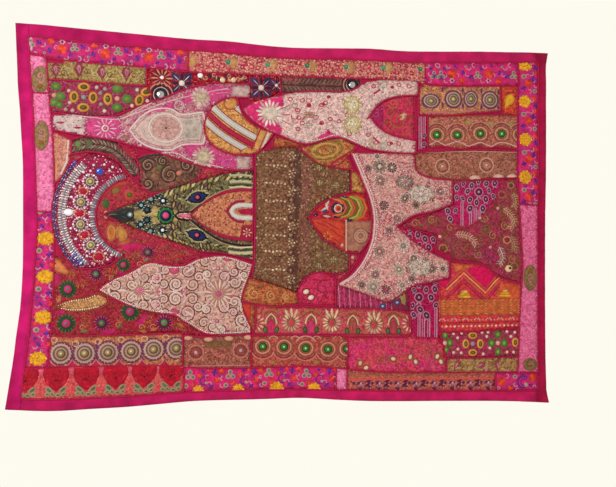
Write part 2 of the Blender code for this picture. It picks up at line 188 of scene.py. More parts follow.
def hang(x, z, lift):
    """Places in metres of cloth this far in front of the back, at x and z in millimetres."""
    x, z = np.asarray(x, float), np.asarray(z, float)
    u, v = (x - LOWEST_X) / NET_STEP, (z - LOWEST_Z) / NET_STEP
    i = np.clip(np.floor(u).astype(int), 1, NET_COLUMNS - 3)
    j = np.clip(np.floor(v).astype(int), 1, NET_ROWS - 3)
    depth = np.zeros_like(x)
    for b, down in enumerate(spline_weights(v - j)):
        for a, across in enumerate(spline_weights(u - i)):
            depth += down * across * depth_of_back[j + b - 1, i + a - 1]
    for x0, z0, x1, z1, rise, half_width in CREASES:
        run_x, run_z = x1 - x0, z1 - z0
        share = np.clip(((x - x0) * run_x + (z - z0) * run_z) / (run_x**2 + run_z**2), 0, 1)
        away = (x - x0 - share * run_x) ** 2 + (z - z0 - share * run_z) ** 2
        depth -= rise * np.exp(-away / half_width**2)
    for long_x, long_z, phase, rise in WAVES:
        depth -= rise * np.sin(2 * math.pi * (x / long_x + z / long_z) + phase)
    return np.stack([x * MM, (depth - lift) * MM, z * MM], -1)


def spline_weights(t):
    """The four weights of a smooth curve through a row of the net."""
    return ((1 - t) ** 3 / 6, (3 * t**3 - 6 * t**2 + 4) / 6, (-3 * t**3 + 3 * t**2 + 3 * t + 1) / 6,
        t**3 / 6)


def outline_of(node):
    """The outline of a solid's front face, corner by corner, in millimetres."""
    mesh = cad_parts[node].data
    spots = [(round(v.co.x / MM, 3), round(v.co.z / MM, 3), round(v.co.y / MM, 3)) for v in mesh.vertices]
    following = {}
    for polygon in mesh.polygons:
        if polygon.normal.y < -0.5:
            corners = [spots[i] for i in polygon.vertices]
            for start, end in zip(corners, corners[1:] + corners[:1]):
                if following.get((end, start)):
                    following.pop((end, start))
                else:
                    following[(start, end)] = True
    ends = {start: end for start, end in following}
    first = spot = next(iter(ends))
    loop = []
    while True:
        loop.append(spot[:2])
        spot = ends[spot]
        if spot == first:
            return np.array(loop)


def even(outline, step):
    """The outline in steps of about this length."""
    points = np.vstack([outline, outline[:1]]).astype(float)
    lengths = np.hypot(*np.diff(points, axis=0).T)
    parts = [
        start + (end - start) * np.arange(n)[:, None] / n
        for start, end, n in zip(points, points[1:], np.maximum(1, np.round(lengths / step)).astype(int))
    ]
    return np.vstack(parts)


def rounded(points, step=6, closed=True, sharp=38):
    """A smooth line through the points in steps of this length, with corners where it turns by more degrees
    than sharp."""
    points = np.asarray(points, float)
    n = len(points)
    before, after = np.roll(points, 1, 0), np.roll(points, -1, 0)
    first, last = points - before, after - points
    turn = np.degrees(np.arctan2(np.abs(first[:, 0] * last[:, 1] - first[:, 1] * last[:, 0]),
                                 (first * last).sum(1)))
    slope = np.where((turn > sharp)[:, None], 0, (after - before) / 2)
    if not closed:
        slope[0] = slope[-1] = 0
    loop = []
    for i in range(n if closed else n - 1):
        j = (i + 1) % n
        chord = points[j] - points[i]
        length = np.hypot(*chord)
        ends = [s * length / max(np.hypot(*s), 1e-9) if s.any() else chord for s in (slope[i], slope[j])]
        t = (np.arange(max(1, round(length / step))) / max(1, round(length / step)))[:, None]
        loop.append((1 + 2 * t) * (1 - t) ** 2 * points[i] + t * (1 - t) ** 2 * ends[0]
                    + t * t * (3 - 2 * t) * points[j] - t * t * (1 - t) * ends[1])
    return np.vstack(loop if closed else [*loop, points[-1:]])


def inside(outline, spots):
    """True for each spot that lies within the outline."""
    x, z = spots[:, 0, None], spots[:, 1, None]
    x0, z0 = outline.T
    x1, z1 = np.roll(outline, -1, 0).T
    with np.errstate(divide="ignore", invalid="ignore"):
        crosses = ((z0 > z) != (z1 > z)) & (x < (x1 - x0) * (z - z0) / (z1 - z0) + x0)
    return crosses.sum(1) % 2 == 1


def from_rim(outline, spots):
    """How far each spot is from the outline, whose points are close together."""
    parts = [
        np.sqrt(((part[:, None] - outline[None]) ** 2).sum(-1)).min(1)
        for part in np.array_split(spots, len(spots) // 3000 + 1)
    ]
    return np.concatenate(parts)


def filled(outline, step):
    """Spots and triangles that fill an outline, in millimetres, and which spots are the outline's own."""
    low, high = outline.min(0), outline.max(0)
    rows = np.arange(low[1], high[1], step * 0.866)
    columns = np.arange(low[0], high[0], step)
    net = np.array([(x + step / 2 * (k % 2), z) for k, z in enumerate(rows) for x in columns])
    net = net[inside(outline, net)]
    if len(net):
        net = net[from_rim(outline, net) > step * 0.55]
    spots = np.vstack([outline, net]) if len(net) else outline
    edges = [(i, (i + 1) % len(outline)) for i in range(len(outline))]
    found = delaunay_2d_cdt([Vector(s) for s in spots], edges, [], 1, 1e-4)
    order = [o[0] if o else -1 for o in found[3]]
    places = np.array([tuple(p) for p in found[0]])
    triangles = np.array([t for t in found[2] if len(t) == 3])
    rim_first = {old: new for new, old in enumerate(order) if 0 <= old < len(outline)}
    return places, triangles, np.array([rim_first[i] for i in range(len(outline))])


def make_piece(name, places, triangles, materials, colours, runs=None, finishes=None, *, slot):
    """A mesh piece that rides on the hanging, with the colours and directions of its threads."""
    mesh = bpy.data.meshes.new(name)
    mesh.vertices.add(len(places))
    mesh.vertices.foreach_set("co", np.asarray(places, np.float32).ravel())
    mesh.loops.add(3 * len(triangles))
    mesh.loops.foreach_set("vertex_index", np.asarray(triangles, np.int32).ravel())
    mesh.polygons.add(len(triangles))
    mesh.polygons.foreach_set("loop_start", np.arange(0, 3 * len(triangles), 3, dtype=np.int32))
    mesh.update(calc_edges=True)
    mesh.shade_smooth()
    # The dye attribute holds each point's colour: its dye, and the painted shade that some pieces blend in.
    layer = mesh.attributes.new("dye", "FLOAT_COLOR", "POINT")
    layer.data.foreach_set("color",
        np.hstack([colours, np.ones((len(colours), 1))]).astype(np.float32).ravel())
    if runs is not None:
        layer = mesh.attributes.new("run", "FLOAT_VECTOR", "POINT")
        layer.data.foreach_set("vector", np.asarray(runs, np.float32).ravel())
    for material in materials:
        mesh.materials.append(material)
    if finishes is not None:
        mesh.polygons.foreach_set("material_index", np.asarray(finishes, np.int32))
    made = bpy.data.objects.new(name, mesh)
    bpy.context.scene.collection.objects.link(made)
    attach(made, "root")
    return made


def winding(outline):
    """The area within an outline, less than zero if it runs clockwise."""
    x, z = outline.T
    return (np.dot(x, np.roll(z, -1)) - np.dot(z, np.roll(x, -1))) / 2


TURNED_EDGE, BACK_LIFT = 4.5, 0.1


def two_sided(name, outline, step, thick, materials, slot, dye):
    """A cut of cloth seen from both sides, its front rising a little from its turned edge."""
    places, triangles, rim = filled(outline, step)
    x, z = places.T
    crown = 1 - np.exp(-((from_rim(outline, places) / TURNED_EDGE) ** 2))
    count = len(places)
    front = hang(x, z, BACK_LIFT + thick * (0.55 + 0.45 * crown))
    back = hang(x, z, BACK_LIFT + thick * 0.2 * (1 - crown))
    ahead = np.roll(rim, -1)
    walls = np.vstack([np.stack([rim, rim + count, ahead + count], 1),
        np.stack([rim, ahead + count, ahead], 1)])
    faces = np.vstack([triangles, triangles[:, ::-1] + count, walls])
    piece = make_piece(name, np.vstack([front, back]), faces, materials, np.tile(dye(x, z), (2, 1)),
        slot=slot)
    return piece


def blend(first, second, share):
    """Colours between two, one for each share; either may be a hex value or colours already blended."""
    share = np.clip(np.asarray(share, float), 0, 1)[:, None]
    first, second = (np.array(linear(end)) if isinstance(end, str) else end for end in (first, second))
    return first * (1 - share) + second * share


def cotton(name):
    """Plain-woven dyed cotton: matt, with a fine over-and-under grain. Its 0.5 mm threads are drawn at
    1.4 mm so that they show, and a slow mottle stands for uneven dye."""
    material, tree, shader = new_material(name)
    place = add(tree, "ShaderNodeTexCoord").outputs["Object"]
    # The dye attribute, which on the border bands carries painted shade as well as dye.
    dye = add(tree, "ShaderNodeAttribute", attribute_name="dye").outputs["Color"]
    mottle = add(tree, "ShaderNodeTexNoise", {"Vector": place, "Scale": 26.0, "Detail": 4.0})
    level = add(tree, "ShaderNodeMapRange", {"Value": mottle.outputs["Fac"], "From Min": 0.3,
        "From Max": 0.7, "To Min": 0.74, "To Max": 1.2})
    shade = add(tree, "ShaderNodeVectorMath", {0: dye, "Scale": level.outputs["Result"]}, operation="SCALE")
    tree.links.new(shade.outputs[0], shader.inputs["Base Color"])
    warp, weft = (add(tree, "ShaderNodeTexWave", {"Vector": place, "Scale": 115.0, "Distortion": 0.6},
                      bands_direction=way).outputs["Fac"] for way in "XZ")
    weave = add(tree, "ShaderNodeMath", {0: warp, 1: weft}, operation="MULTIPLY")
    bump = add(tree, "ShaderNodeBump", {"Height": weave.outputs[0], "Strength": 0.35, "Distance": 0.0005})
    tree.links.new(bump.outputs[0], shader.inputs["Normal"])
    finish_of(shader, roughness=0.88, specular_ior_level=0.1, sheen_weight=0.04, sheen_roughness=0.5)
    return material


def grown(outline, amount):
    """The outline moved out by this amount, so that cuts which are sewn together meet."""
    along = np.roll(outline, -1, 0) - np.roll(outline, 1, 0)
    out = np.stack([along[:, 1], -along[:, 0]], 1) * np.sign(winding(outline))
    return outline + amount * out / np.maximum(np.hypot(*out.T), 1e-9)[:, None]


MEETING = 0.5
band_cotton = cotton("plain woven magenta cotton")
BAND_THICK = 2.0
# Each band's dye with painted shade: the top band darkens into its top-right point and the bottom band into
# its bottom-right point, where the cloth is pulled into folds; the left band darkens towards its outer edge,
# where it curls back, and the right band towards its seam, where it folds, and towards both ends.
BAND_DYES_AND_PAINTED_SHADE = {
    "band_top": lambda x, z: blend(blend("#B41558", "#C01E5A", x / 600 + 1), "#8E0828", (x + z - 712) / 40),
    "band_bottom": lambda x, z: blend(blend("#BC1A58", "#CC1E5E", x / 600 + 0.5), "#A00C34", (x - 712) / 30),
    "band_left": lambda x, z: blend("#A81050", "#C41866",
                                    (x + 756 - 20 * np.abs(z / 1000 + 0.5) ** 2) / 30),
    "band_right": lambda x, z: blend("#A20C38", "#C4184E", (x - 722) / 26)
    * (1 - 0.3 * np.clip((z + 30) / 50, 0, 1) - 0.2 * np.clip((-950 - z) / 50, 0, 1))[:, None],
}
for band, dye in BAND_DYES_AND_PAINTED_SHADE.items():
    outline = even(grown(outline_of(band), MEETING), 8)
    piece = two_sided("cloth_" + band, outline, 9, BAND_THICK, [band_cotton], "band_cotton", dye)
    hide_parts(band)


# Ground cloths
# Plain crimson cotton that the patchwork is sewn to: one cut behind the middle and one behind each
# side's strip. Their backs show from behind.
GROUND_THICK = 1.4
ground_cotton = cotton("plain woven crimson cotton")
GROUND_SLOTS = {"strip_top": "sari_border", "strip_right": "sari_border", "strip_bottom": "sari_border",
                "strip_left": "sari_border", "collage_ground": "patch_cloth"}
for node, slot in GROUND_SLOTS.items():
    outline = even(grown(outline_of(node), MEETING), 10)
    piece = two_sided("backing_" + node, outline, 14, GROUND_THICK, [ground_cotton], slot,
                      lambda x, z: blend("#A0163C", "#B01C48", 0.5 + 0.5 * np.sin(x / 90 + z / 140)))
    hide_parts(node)


# Top strip
# Three cuts from sari borders: floral print, beige-pink embroidery with green eyes, floral print.
# Each patch is sewn down round its edge, and a crimson cord is couched over every join.
STITCH_LENGTH = 4.2


def brocade(name, ground, figure, accent, size, cut=0.5, lines=0.4, grain=0.45, roughness=0.62):
    """Silk worked all over in short stitches: a ground with scrolling figures in a second silk and veins in
    a third. Each stitch has one colour and its own painted glint, a brightness picked at random. The
    figures' size is in millimetres. A stitch of 1.5 mm is drawn at about 4 mm so that it shows."""
    material, tree, shader = new_material(name)
    place = add(tree, "ShaderNodeTexCoord").outputs["Object"]
    stitches = add(tree, "ShaderNodeTexVoronoi", {"Vector": place, "Scale": 1000.0 / STITCH_LENGTH})
    middle = stitches.outputs["Position"]
    drift = add(tree, "ShaderNodeTexNoise", {"Vector": middle, "Scale": 500.0 / size, "Detail": 1.0})
    bent = add(tree, "ShaderNodeVectorMath", {0: drift.outputs["Color"], "Scale": size * 0.0011},
               operation="SCALE")
    warped = add(tree, "ShaderNodeVectorMath", {0: middle, 1: bent.outputs[0]}, operation="ADD")
    scrolls = add(tree, "ShaderNodeTexNoise",
                  {"Vector": warped.outputs[0], "Scale": 1000.0 / size, "Detail": 2.5, "Roughness": 0.6})
    shape = add(tree, "ShaderNodeMapRange", {"Value": scrolls.outputs["Fac"], "From Min": cut - 0.035,
                                             "From Max": cut + 0.035})
    cells = add(tree, "ShaderNodeTexVoronoi", {"Vector": warped.outputs[0], "Scale": 800.0 / size},
                feature="DISTANCE_TO_EDGE")
    vein = add(tree, "ShaderNodeMapRange", {"Value": cells.outputs["Distance"], "From Min": 0.08,
                                            "From Max": 0.2, "To Min": lines, "To Max": 0.0})
    two = add(tree, "ShaderNodeMix", {0: shape.outputs[0], 6: opaque(ground), 7: opaque(figure)},
              data_type="RGBA")
    three = add(tree, "ShaderNodeMix", {0: vein.outputs[0], 6: two.outputs[2], 7: opaque(accent)},
                data_type="RGBA")
    # Painted glint: each stitch's brightness is scaled at random, as if each took the light in its own way;
    # this also stands for tone that differs from stitch to stitch.
    chance = add(tree, "ShaderNodeSeparateColor", {0: stitches.outputs["Color"]})
    glint = add(tree, "ShaderNodeMapRange", {"Value": chance.outputs[0], "To Min": 1 - grain,
                                             "To Max": 1 + grain})
    shade = add(tree, "ShaderNodeVectorMath", {0: three.outputs[2], "Scale": glint.outputs[0]},
                operation="SCALE")
    # The patch's wash and the painted shade along its seam, read from the dye attribute.
    tone_and_painted_shade = add(tree, "ShaderNodeAttribute", attribute_name="dye").outputs["Color"]
    tinted_with_painted_shade = add(tree, "ShaderNodeVectorMath", {0: shade.outputs[0], 1: tone_and_painted_shade}, operation="MULTIPLY")
    tree.links.new(tinted_with_painted_shade.outputs[0], shader.inputs["Base Color"])
    thread = add(tree, "ShaderNodeTexNoise", {"Vector": place, "Scale": 480.0, "Detail": 1.5})
    relief = add(tree, "ShaderNodeMath", {0: thread.outputs["Fac"], 1: stitches.outputs["Distance"]},
                 operation="SUBTRACT")
    bump = add(tree, "ShaderNodeBump", {"Height": relief.outputs[0], "Strength": 0.6, "Distance": 0.0007})
    tree.links.new(bump.outputs[0], shader.inputs["Normal"])
    finish_of(shader, roughness=roughness, specular_ior_level=0.1)
    return material


# How far a patch stands off the back, how far its middle puffs out, how deep its edge is pressed and tucked
# under, and how wide that hem is, in millimetres
PATCH_LEVEL, PUFF, EDGE_DIP, TUCK, HEM = 1.9, 0.9, 0.5, 1.6, 6
ground_rim = even(outline_of("collage_ground"), 2)
# Crimson dye has run into the old silks: a wash all over. Painted shade, going to a dark crimson, darkens
# each patch along its seams and each thread most where it dives into the cloth. The wash and the seam
# shade are shares of red, green and blue that go.
WASH, PAINTED_SEAM_SHADE, PAINTED_DIVE_SHADE = np.array([0.06, 0.42, 0.36]), np.array([0.42, 0.72, 0.66]), 0.55
THREAD_WASH, SHADE_CRIMSON, CRIMSON = 0.35, "#6A0C26", "#B01744"
cords = []


class Patch:
    """One cut of cloth, sewn down round its edge so that its middle stands a little proud."""

    def __init__(self, name, outline, material, level=PATCH_LEVEL, slot="patch_cloth", cord=CRIMSON,
                 cord_width=5.2, node=None, wash=1.0, shade=1.0):
        self.outline = wound(np.asarray(outline, float))
        if level == PATCH_LEVEL:
            self.outline = settled(self.outline, slot)
        self.wash = shade * (1 - wash * WASH)
        self.level, self.slot = level, slot
        places, triangles, rim = filled(self.outline, 8)
        count, ahead = len(places), np.roll(np.arange(len(rim)), -1)
        front = hang(*places.T, self.lift(places))
        under = hang(*places[rim].T, level - TUCK)
        walls = np.vstack([np.stack([rim, count + np.arange(len(rim)), count + ahead], 1),
                           np.stack([rim, count + ahead, rim[ahead]], 1)])
        reach = np.concatenate([from_rim(self.outline, places), np.zeros(len(rim))])[:, None]
        # The patch's wash, with painted shade along its seam.
        tone_and_painted_shade = self.wash * (1 - PAINTED_SEAM_SHADE * np.exp(-((reach / HEM) ** 2)))
        piece = make_piece(name, np.vstack([front, under]), np.vstack([triangles, walls]), [material],
            tone_and_painted_shade, slot=slot)
        if node:
            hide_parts(node)
        if cord:
            cords.append((self.outline, level, cord_width, cord))

    def lift(self, spots):
        """How far its face stands off the back of the hanging at these spots."""
        pressed = np.exp(-((from_rim(self.outline, spots) / HEM) ** 2))
        return self.level - EDGE_DIP + (EDGE_DIP + PUFF) * (1 - pressed)


def settled(outline, slot, lap=2.5, reach=10):
    """A patch's outline with a lap under its neighbours, brought right up to its ground cloth's edge."""
    outline = even(grown(outline, lap), 7)
    if slot == "sari_border":
        return outline
    away = np.sqrt(((outline[:, None] - ground_rim[None]) ** 2).sum(-1))
    near = (away.min(1) < reach) | ~inside(ground_rim, outline)
    outline[near] = ground_rim[away.argmin(1)[near]]
    kept = np.hypot(*(outline - np.roll(outline, 1, 0)).T) > 1.5
    return outline[kept]


def with_painted_shade(dye, share):
    """Painted shade: the dye of a thread with this share of it left, and a dark crimson in place of the
    rest.
    """
    return dye * share + np.array(linear(SHADE_CRIMSON)) * (1 - share)


def wound(outline):
    """The outline turned so that it runs anticlockwise from the front."""
    return outline if winding(outline) > 0 else outline[::-1]


def round_shape(sides, rings):
    """A round shape of unit radius: its middle, then rings of (radius, rise)."""
    turns = np.linspace(0, 2 * math.pi, sides, endpoint=False)
    circle = np.stack([np.cos(turns), np.sin(turns)], 1)
    spots = np.vstack([[(0, 0)], *[circle * radius for radius, rise in rings]])
    rises = np.concatenate([[1.0], *[np.full(sides, rise) for radius, rise in rings]])
    k, ahead = np.arange(sides), np.roll(np.arange(sides), -1)
    faces = [np.stack([np.zeros(sides, int), 1 + k, 1 + ahead], 1)]
    for ring in range(1, len(rings)):
        outer, inner = 1 + ring * sides, 1 + (ring - 1) * sides
        faces += [np.stack([inner + k, outer + k, outer + ahead], 1),
                  np.stack([inner + k, outer + ahead, inner + ahead], 1)]
    return spots, rises, np.vstack(faces)


def ribbon(spots, half_widths, rises, closed=False, across=3):
    """A band along a line: its spots, its rises and its triangles, domed from side to side."""
    spots = np.asarray(spots, float)
    n = len(spots)
    if closed:
        along = np.roll(spots, -1, 0) - np.roll(spots, 1, 0)
    else:
        along = np.gradient(spots, axis=0)
    along /= np.maximum(np.hypot(*along.T), 1e-9)[:, None]
    side = np.stack([-along[:, 1], along[:, 0]], 1)
    half_widths = np.broadcast_to(half_widths, n)
    shares = np.linspace(1, -1, across)
    domes = np.sqrt(np.maximum(1 - shares**2, 0)) if across > 3 else np.array([0, 1, 0])
    places = spots[:, None] + side[:, None] * (half_widths[:, None] * shares)[..., None]
    heights = np.broadcast_to(rises, n)[:, None] * domes
    k = np.arange(n if closed else n - 1)
    ahead = (k + 1) % n
    faces = []
    for a in range(across - 1):
        p, q, r, s = k * across + a, k * across + a + 1, ahead * across + a + 1, ahead * across + a
        faces += [np.stack([p, q, r], 1), np.stack([p, r, s], 1)]
    run = np.cumsum(np.hypot(*np.diff(spots, axis=0, prepend=spots[:1]).T))
    runs = np.stack([np.repeat(run, across), (half_widths[:, None] * shares).ravel(), 0 * heights.ravel()],
        1)
    return places.reshape(-1, 2), heights.ravel(), np.vstack(faces), runs


def spindle(*widths):
    """A straight petal of unit length along +x, with this width at each of its evenly spaced stations."""
    stations = np.stack([np.linspace(0, 1, len(widths)), np.zeros(len(widths))], 1)
    widths = np.maximum(widths, 0.02)
    return ribbon(stations, widths / 2, np.sqrt(widths / max(widths)))[:3]


DOME = round_shape(16, ((0.5, 0.85), (0.82, 0.5), (1.0, 0.0)))
DISC = round_shape(20, ((0.84, 1.0), (1.0, 0.0)))
BEAD = round_shape(6, ((0.68, 0.74), (1.0, 0.0)))
KNOT = round_shape(5, ((1.0, 0.0),))
SEQUIN = round_shape(7, ((0.3, 0.45), (1.0, 0.6)))
PETAL = spindle(0.25, 0.62, 0.92, 1.0, 0.72, 0.1)
LEAF = spindle(0.05, 0.6, 0.95, 0.95, 0.55, 0.02)
TEAR = spindle(0.02, 0.28, 0.55, 0.85, 1.0, 0.75, 0.1)
STITCH = spindle(0.3, 1.0, 0.3)
STITCH = (STITCH[0] - (0.5, 0), STITCH[1], STITCH[2])
FLOSS, GLASS, GILT, MIRROR = range(4)
# How far needlework is drawn into the cloth, in millimetres
DRAWN_IN = 0.15


def thread_like(name, roughness, metallic=0.0, grain=0.12, ply=0.9, gloss=0.5, coat=0.0):
    """A finish whose colour is the dye of each thread or bead, with the painted shade that the dye attribute
    carries. Ply is the spacing in millimetres of the ridges that its turns leave along a thread, or 0 for a
    bead, which has none."""
    material, tree, shader = new_material(name)
    dye = add(tree, "ShaderNodeAttribute", attribute_name="dye").outputs["Color"]
    place = add(tree, "ShaderNodeTexCoord").outputs["Object"]
    speckle = add(tree, "ShaderNodeTexNoise", {"Vector": place, "Scale": 420.0, "Detail": 2.0})
    level = add(tree, "ShaderNodeMapRange", {"Value": speckle.outputs["Fac"], "From Min": 0.38,
        "From Max": 0.62, "To Min": 1 - grain, "To Max": 1 + grain})
    shade = add(tree, "ShaderNodeVectorMath", {0: dye, "Scale": level.outputs[0]}, operation="SCALE")
    tree.links.new(shade.outputs[0], shader.inputs["Base Color"])
    if ply:
        run = add(tree, "ShaderNodeAttribute", attribute_name="run").outputs["Vector"]
        turns = add(tree, "ShaderNodeTexWave", {"Vector": run, "Scale": 0.314 / ply, "Distortion": 0.5},
                    bands_direction="DIAGONAL")
        bump = add(tree, "ShaderNodeBump", {"Height": turns.outputs["Fac"], "Strength": 0.5,
                                            "Distance": 0.0004})
        tree.links.new(bump.outputs[0], shader.inputs["Normal"])
    finish_of(shader, roughness=roughness, metallic=metallic, specular_ior_level=gloss, coat_weight=coat)
    return material


# Satin-stitched silk floss catches a soft light along its turns
silk_floss = thread_like("satin-stitched silk floss", 0.5, gloss=0.2)
# Glass seed beads have a small sharp highlight each
seed_beads = thread_like("glass seed beads", 0.12, grain=0.05, ply=0, coat=0.6)
# Stamped gilt sequins are thin, metallic and slightly dull with age
gilt_sequins = thread_like("stamped gilt sequins", 0.32, metallic=0.75, grain=0.1, ply=0)
# Shisha is thin blown mirror glass, which shows the bright room as a pale grey. Painted reflection: its
# colour wanders between two pale greys, standing for a reflection that varies across the glass.
shisha, shisha_tree, shisha_shader = new_material("silvered shisha glass")
shisha_painted_mottle = add(shisha_tree, "ShaderNodeTexNoise",
    {"Vector": add(shisha_tree, "ShaderNodeTexCoord").outputs["Object"], "Scale": 90.0})
shisha_tint = add(shisha_tree, "ShaderNodeMix", {0: shisha_painted_mottle.outputs["Fac"], 6: opaque("#D4D6D2"),
    7: opaque("#F4F4EE")}, data_type="RGBA")
shisha_tree.links.new(shisha_tint.outputs[2], shisha_shader.inputs["Base Color"])
finish_of(shisha_shader, metallic=1.0, roughness=0.09)


class Needlework:
    """Stitches and beads sewn on one patch, gathered up and joined as one piece."""

    begun = 0
    # Painted glint and tone that differs at random, from stitch to stitch and between a few of them; how far
    # the dye strays along lines and over fillings
    stitch_dye, few_dye, line_dye, filling_dye = (0.66, 1.28), (0.92, 1.08), (0.92, 1.06), (0.7, 1.22)

    def __init__(self, name, patch):
        self.name, self.patch, self.parts = name, patch, []
        Needlework.begun += 1
        self.chance = np.random.default_rng(Needlework.begun)

    def gather(self, spots, rises, triangles, colours, runs, finish):
        """Keeps what lies on the patch: a shape that crosses its edge was cut with the cloth."""
        held = inside(self.patch.outline, spots)
        triangles = triangles[held[triangles].all(1)]
        used, triangles = np.unique(triangles, return_inverse=True)
        triangles = triangles.reshape(-1, 3)
        if finish == FLOSS:
            colours = colours * (1 - THREAD_WASH * (1 - self.patch.wash))
        self.parts.append((spots[used], rises[used], triangles, colours[used], runs[used],
                           np.full(len(triangles), finish)))

    def sew(self, shape, at, size, turn=0.0, thread="#FFFFFF", rise=1.0, finish=FLOSS):
        """The shape at one or more spots, sized and turned, each in the next of the threads."""
        spots, rises, triangles = shape
        at = np.atleast_2d(np.asarray(at, float))
        k, n = len(at), len(spots)
        if not at.size:
            return
        size = np.asarray(size, float)
        size = size[:, None] if size.ndim == 1 and len(size) == k and k != 2 else size
        size = np.broadcast_to(size, (k, 2))
        angle = np.radians(np.broadcast_to(turn, k))[:, None]
        local = spots[None] * size[:, None]
        x = at[:, :1] + local[..., 0] * np.cos(angle) - local[..., 1] * np.sin(angle)
        z = at[:, 1:] + local[..., 0] * np.sin(angle) + local[..., 1] * np.cos(angle)
        threads = thread.split() if isinstance(thread, str) else thread
        dyes = np.array([linear(t) for t in threads])[np.arange(k) % len(threads)]
        # Painted glint and random tone: each stitch's brightness is scaled at random, or a few stitches'
        # together.
        dyes = dyes * self.chance.uniform(*(self.stitch_dye if k > 3 else self.few_dye),
            (k if k > 3 else 1, 1))
        # Painted shade: each shape darkens to a dark crimson towards its rim, where it dives into the cloth.
        shades = 1 - PAINTED_DIVE_SHADE * (1 - np.clip(rises, 0, 1))
        self.gather(
            np.stack([x, z], -1).reshape(-1, 2),
            (np.broadcast_to(rise, k)[:, None] * rises).ravel(),
            (triangles[None] + (np.arange(k) * n)[:, None, None]).reshape(-1, 3),
            with_painted_shade(dyes[:, None], shades[None, :, None]).reshape(-1, 3),
            np.concatenate([local, 0 * local[..., :1]], -1).reshape(-1, 3),
            finish,
        )

    def line(self, path, wide, thread, rise, closed=False, across=3):
        """A couched or satin-stitched line along a path."""
        path = np.asarray(path, float)
        if len(path) == 2:
            path = path[0] + (path[1] - path[0]) * np.linspace(0, 1, 2 + int(math.dist(*path) / 6))[:, None]
        spots, rises, faces, runs = ribbon(path, np.asarray(wide) / 2, rise, closed, across)
        dye = np.array(linear(thread)) * self.chance.uniform(*self.line_dye)
        # Painted shade: the line darkens to a dark crimson towards its edges.
        shades = 1 - PAINTED_DIVE_SHADE * (1 - rises / max(np.max(rises), 1e-6))
        self.gather(spots, rises, faces, with_painted_shade(dye, shades[:, None]), runs, FLOSS)

    def curve(self, points, wide, thread, rise, step=6, across=3):
        """A couched line that bends smoothly through the points."""
        self.line(rounded(points, step, closed=False), wide, thread, rise, across=across)

    def ring(self, at, half_size, wide, thread, rise, turn=0.0, across=3):
        """A couched ring, round or oval, about a spot."""
        self.line(oval(at, *np.broadcast_to(half_size, 2), turn), wide, thread, rise, True, across)

    def fill(self, outline, thread, rise=0.5, step=7):
        """An area filled with long stitches that run across it."""
        outline = wound(even(outline, 5))
        places, triangles, rim = filled(outline, step)
        dip = np.exp(-((from_rim(outline, places) / 2.5) ** 2))
        rises = rise * (1 - 0.8 * dip)
        dye = np.array(linear(thread)) * self.chance.uniform(*self.filling_dye, (len(places), 1))
        # Painted shade: the filling darkens to a dark crimson round its rim.
        dye = with_painted_shade(dye, (1 - PAINTED_DIVE_SHADE * dip)[:, None])
        self.gather(places, rises, triangles, dye, np.hstack([places, 0 * places[:, :1]]), FLOSS)

    def row(self, path, pitch, shape, size, thread, rise=1.0, finish=FLOSS, turn=None, closed=False):
        """The shape over and over along a path, turned with it unless a turn is given."""
        spots = paced(path, pitch, closed)
        ahead = np.gradient(spots, axis=0) if len(spots) > 1 else np.array([[1.0, 0.0]])
        along = np.degrees(np.arctan2(ahead[:, 1], ahead[:, 0]))
        self.sew(shape, spots, size, along if turn is None else along + turn, thread, rise, finish)

    def around(self, at, count, radius, shape, size, thread, rise=1.0, finish=FLOSS, first=0.0, turn=0.0):
        """The shape around a spot, pointing away from it."""
        angles = first + np.arange(count) * 360 / count
        ring = np.stack([np.cos(np.radians(angles)), np.sin(np.radians(angles))], 1)
        self.sew(shape, np.asarray(at) + ring * radius, size, angles + turn, thread, rise, finish)

    def rings(self, at, bands, squash, rise):
        """Nested round bands, from the outside in, each (radius, thread)."""
        for level, (radius, thread) in enumerate(bands):
            self.sew(DISC, at, (radius, radius * squash), 0, thread, rise + 0.45 * level)

    def strew(self, shape, pitch, size, threads, rise=0.7, finish=FLOSS, margin=4.0, share=1.0, turn=None,
              within=None):
        """The shape strewn over the patch or a part of it, in threads picked at random."""
        outline = self.patch.outline if within is None else even(within, 5)
        spots = spread(outline, pitch, margin, self.chance)
        spots = spots[self.chance.random(len(spots)) < share]
        threads = threads.split()
        picked = [threads[i] for i in self.chance.integers(0, len(threads), len(spots))]
        turns = self.chance.uniform(0, 360, len(spots)) if turn is None else turn
        self.sew(shape, spots, size, turns, picked, rise, finish)

    def ground(self, threads, rise=0.6, pitch=7, size=(8, 3), **settings):
        """Short stitches strewn over the cloth or a part of it."""
        self.strew(STITCH, pitch, size, threads, rise, **settings)

    def finish_off(self):
        """Joins the parts as one piece that lies on the patch."""
        counts = np.cumsum([0] + [len(p[0]) for p in self.parts])
        spots = np.vstack([p[0] for p in self.parts])
        rises = np.concatenate([p[1] for p in self.parts])
        faces = np.vstack([p[2] + first for p, first in zip(self.parts, counts)])
        places = hang(*spots.T, self.patch.lift(spots) + rises - DRAWN_IN)
        return make_piece(
            self.name, places, faces, [silk_floss, seed_beads, gilt_sequins, shisha],
            np.vstack([p[3] for p in self.parts]), np.vstack([p[4] for p in self.parts]),
            np.concatenate([p[5] for p in self.parts]), slot=self.patch.slot,
        )


def border(name, outline, axis, low, high, material, **settings):
    """A cut of sari border: the part of a strip's outline between two values of x or z."""
    return embroider(name, clipped(outline, axis, low, high), material, slot="sari_border", **settings)


def embroider(name, outline, material, **settings):
    """Sews on a patch and starts the needlework that belongs to it."""
    return Needlework(name + "_needlework", Patch(name, outline, material, **settings))


def cut(name, points, material, sharp=30, **settings):
    """A patch with an outline through the given points, smooth but for corners where it turns by more than
    sharp.
    """
    return embroider(name, rounded(points, sharp=sharp), material, **settings)


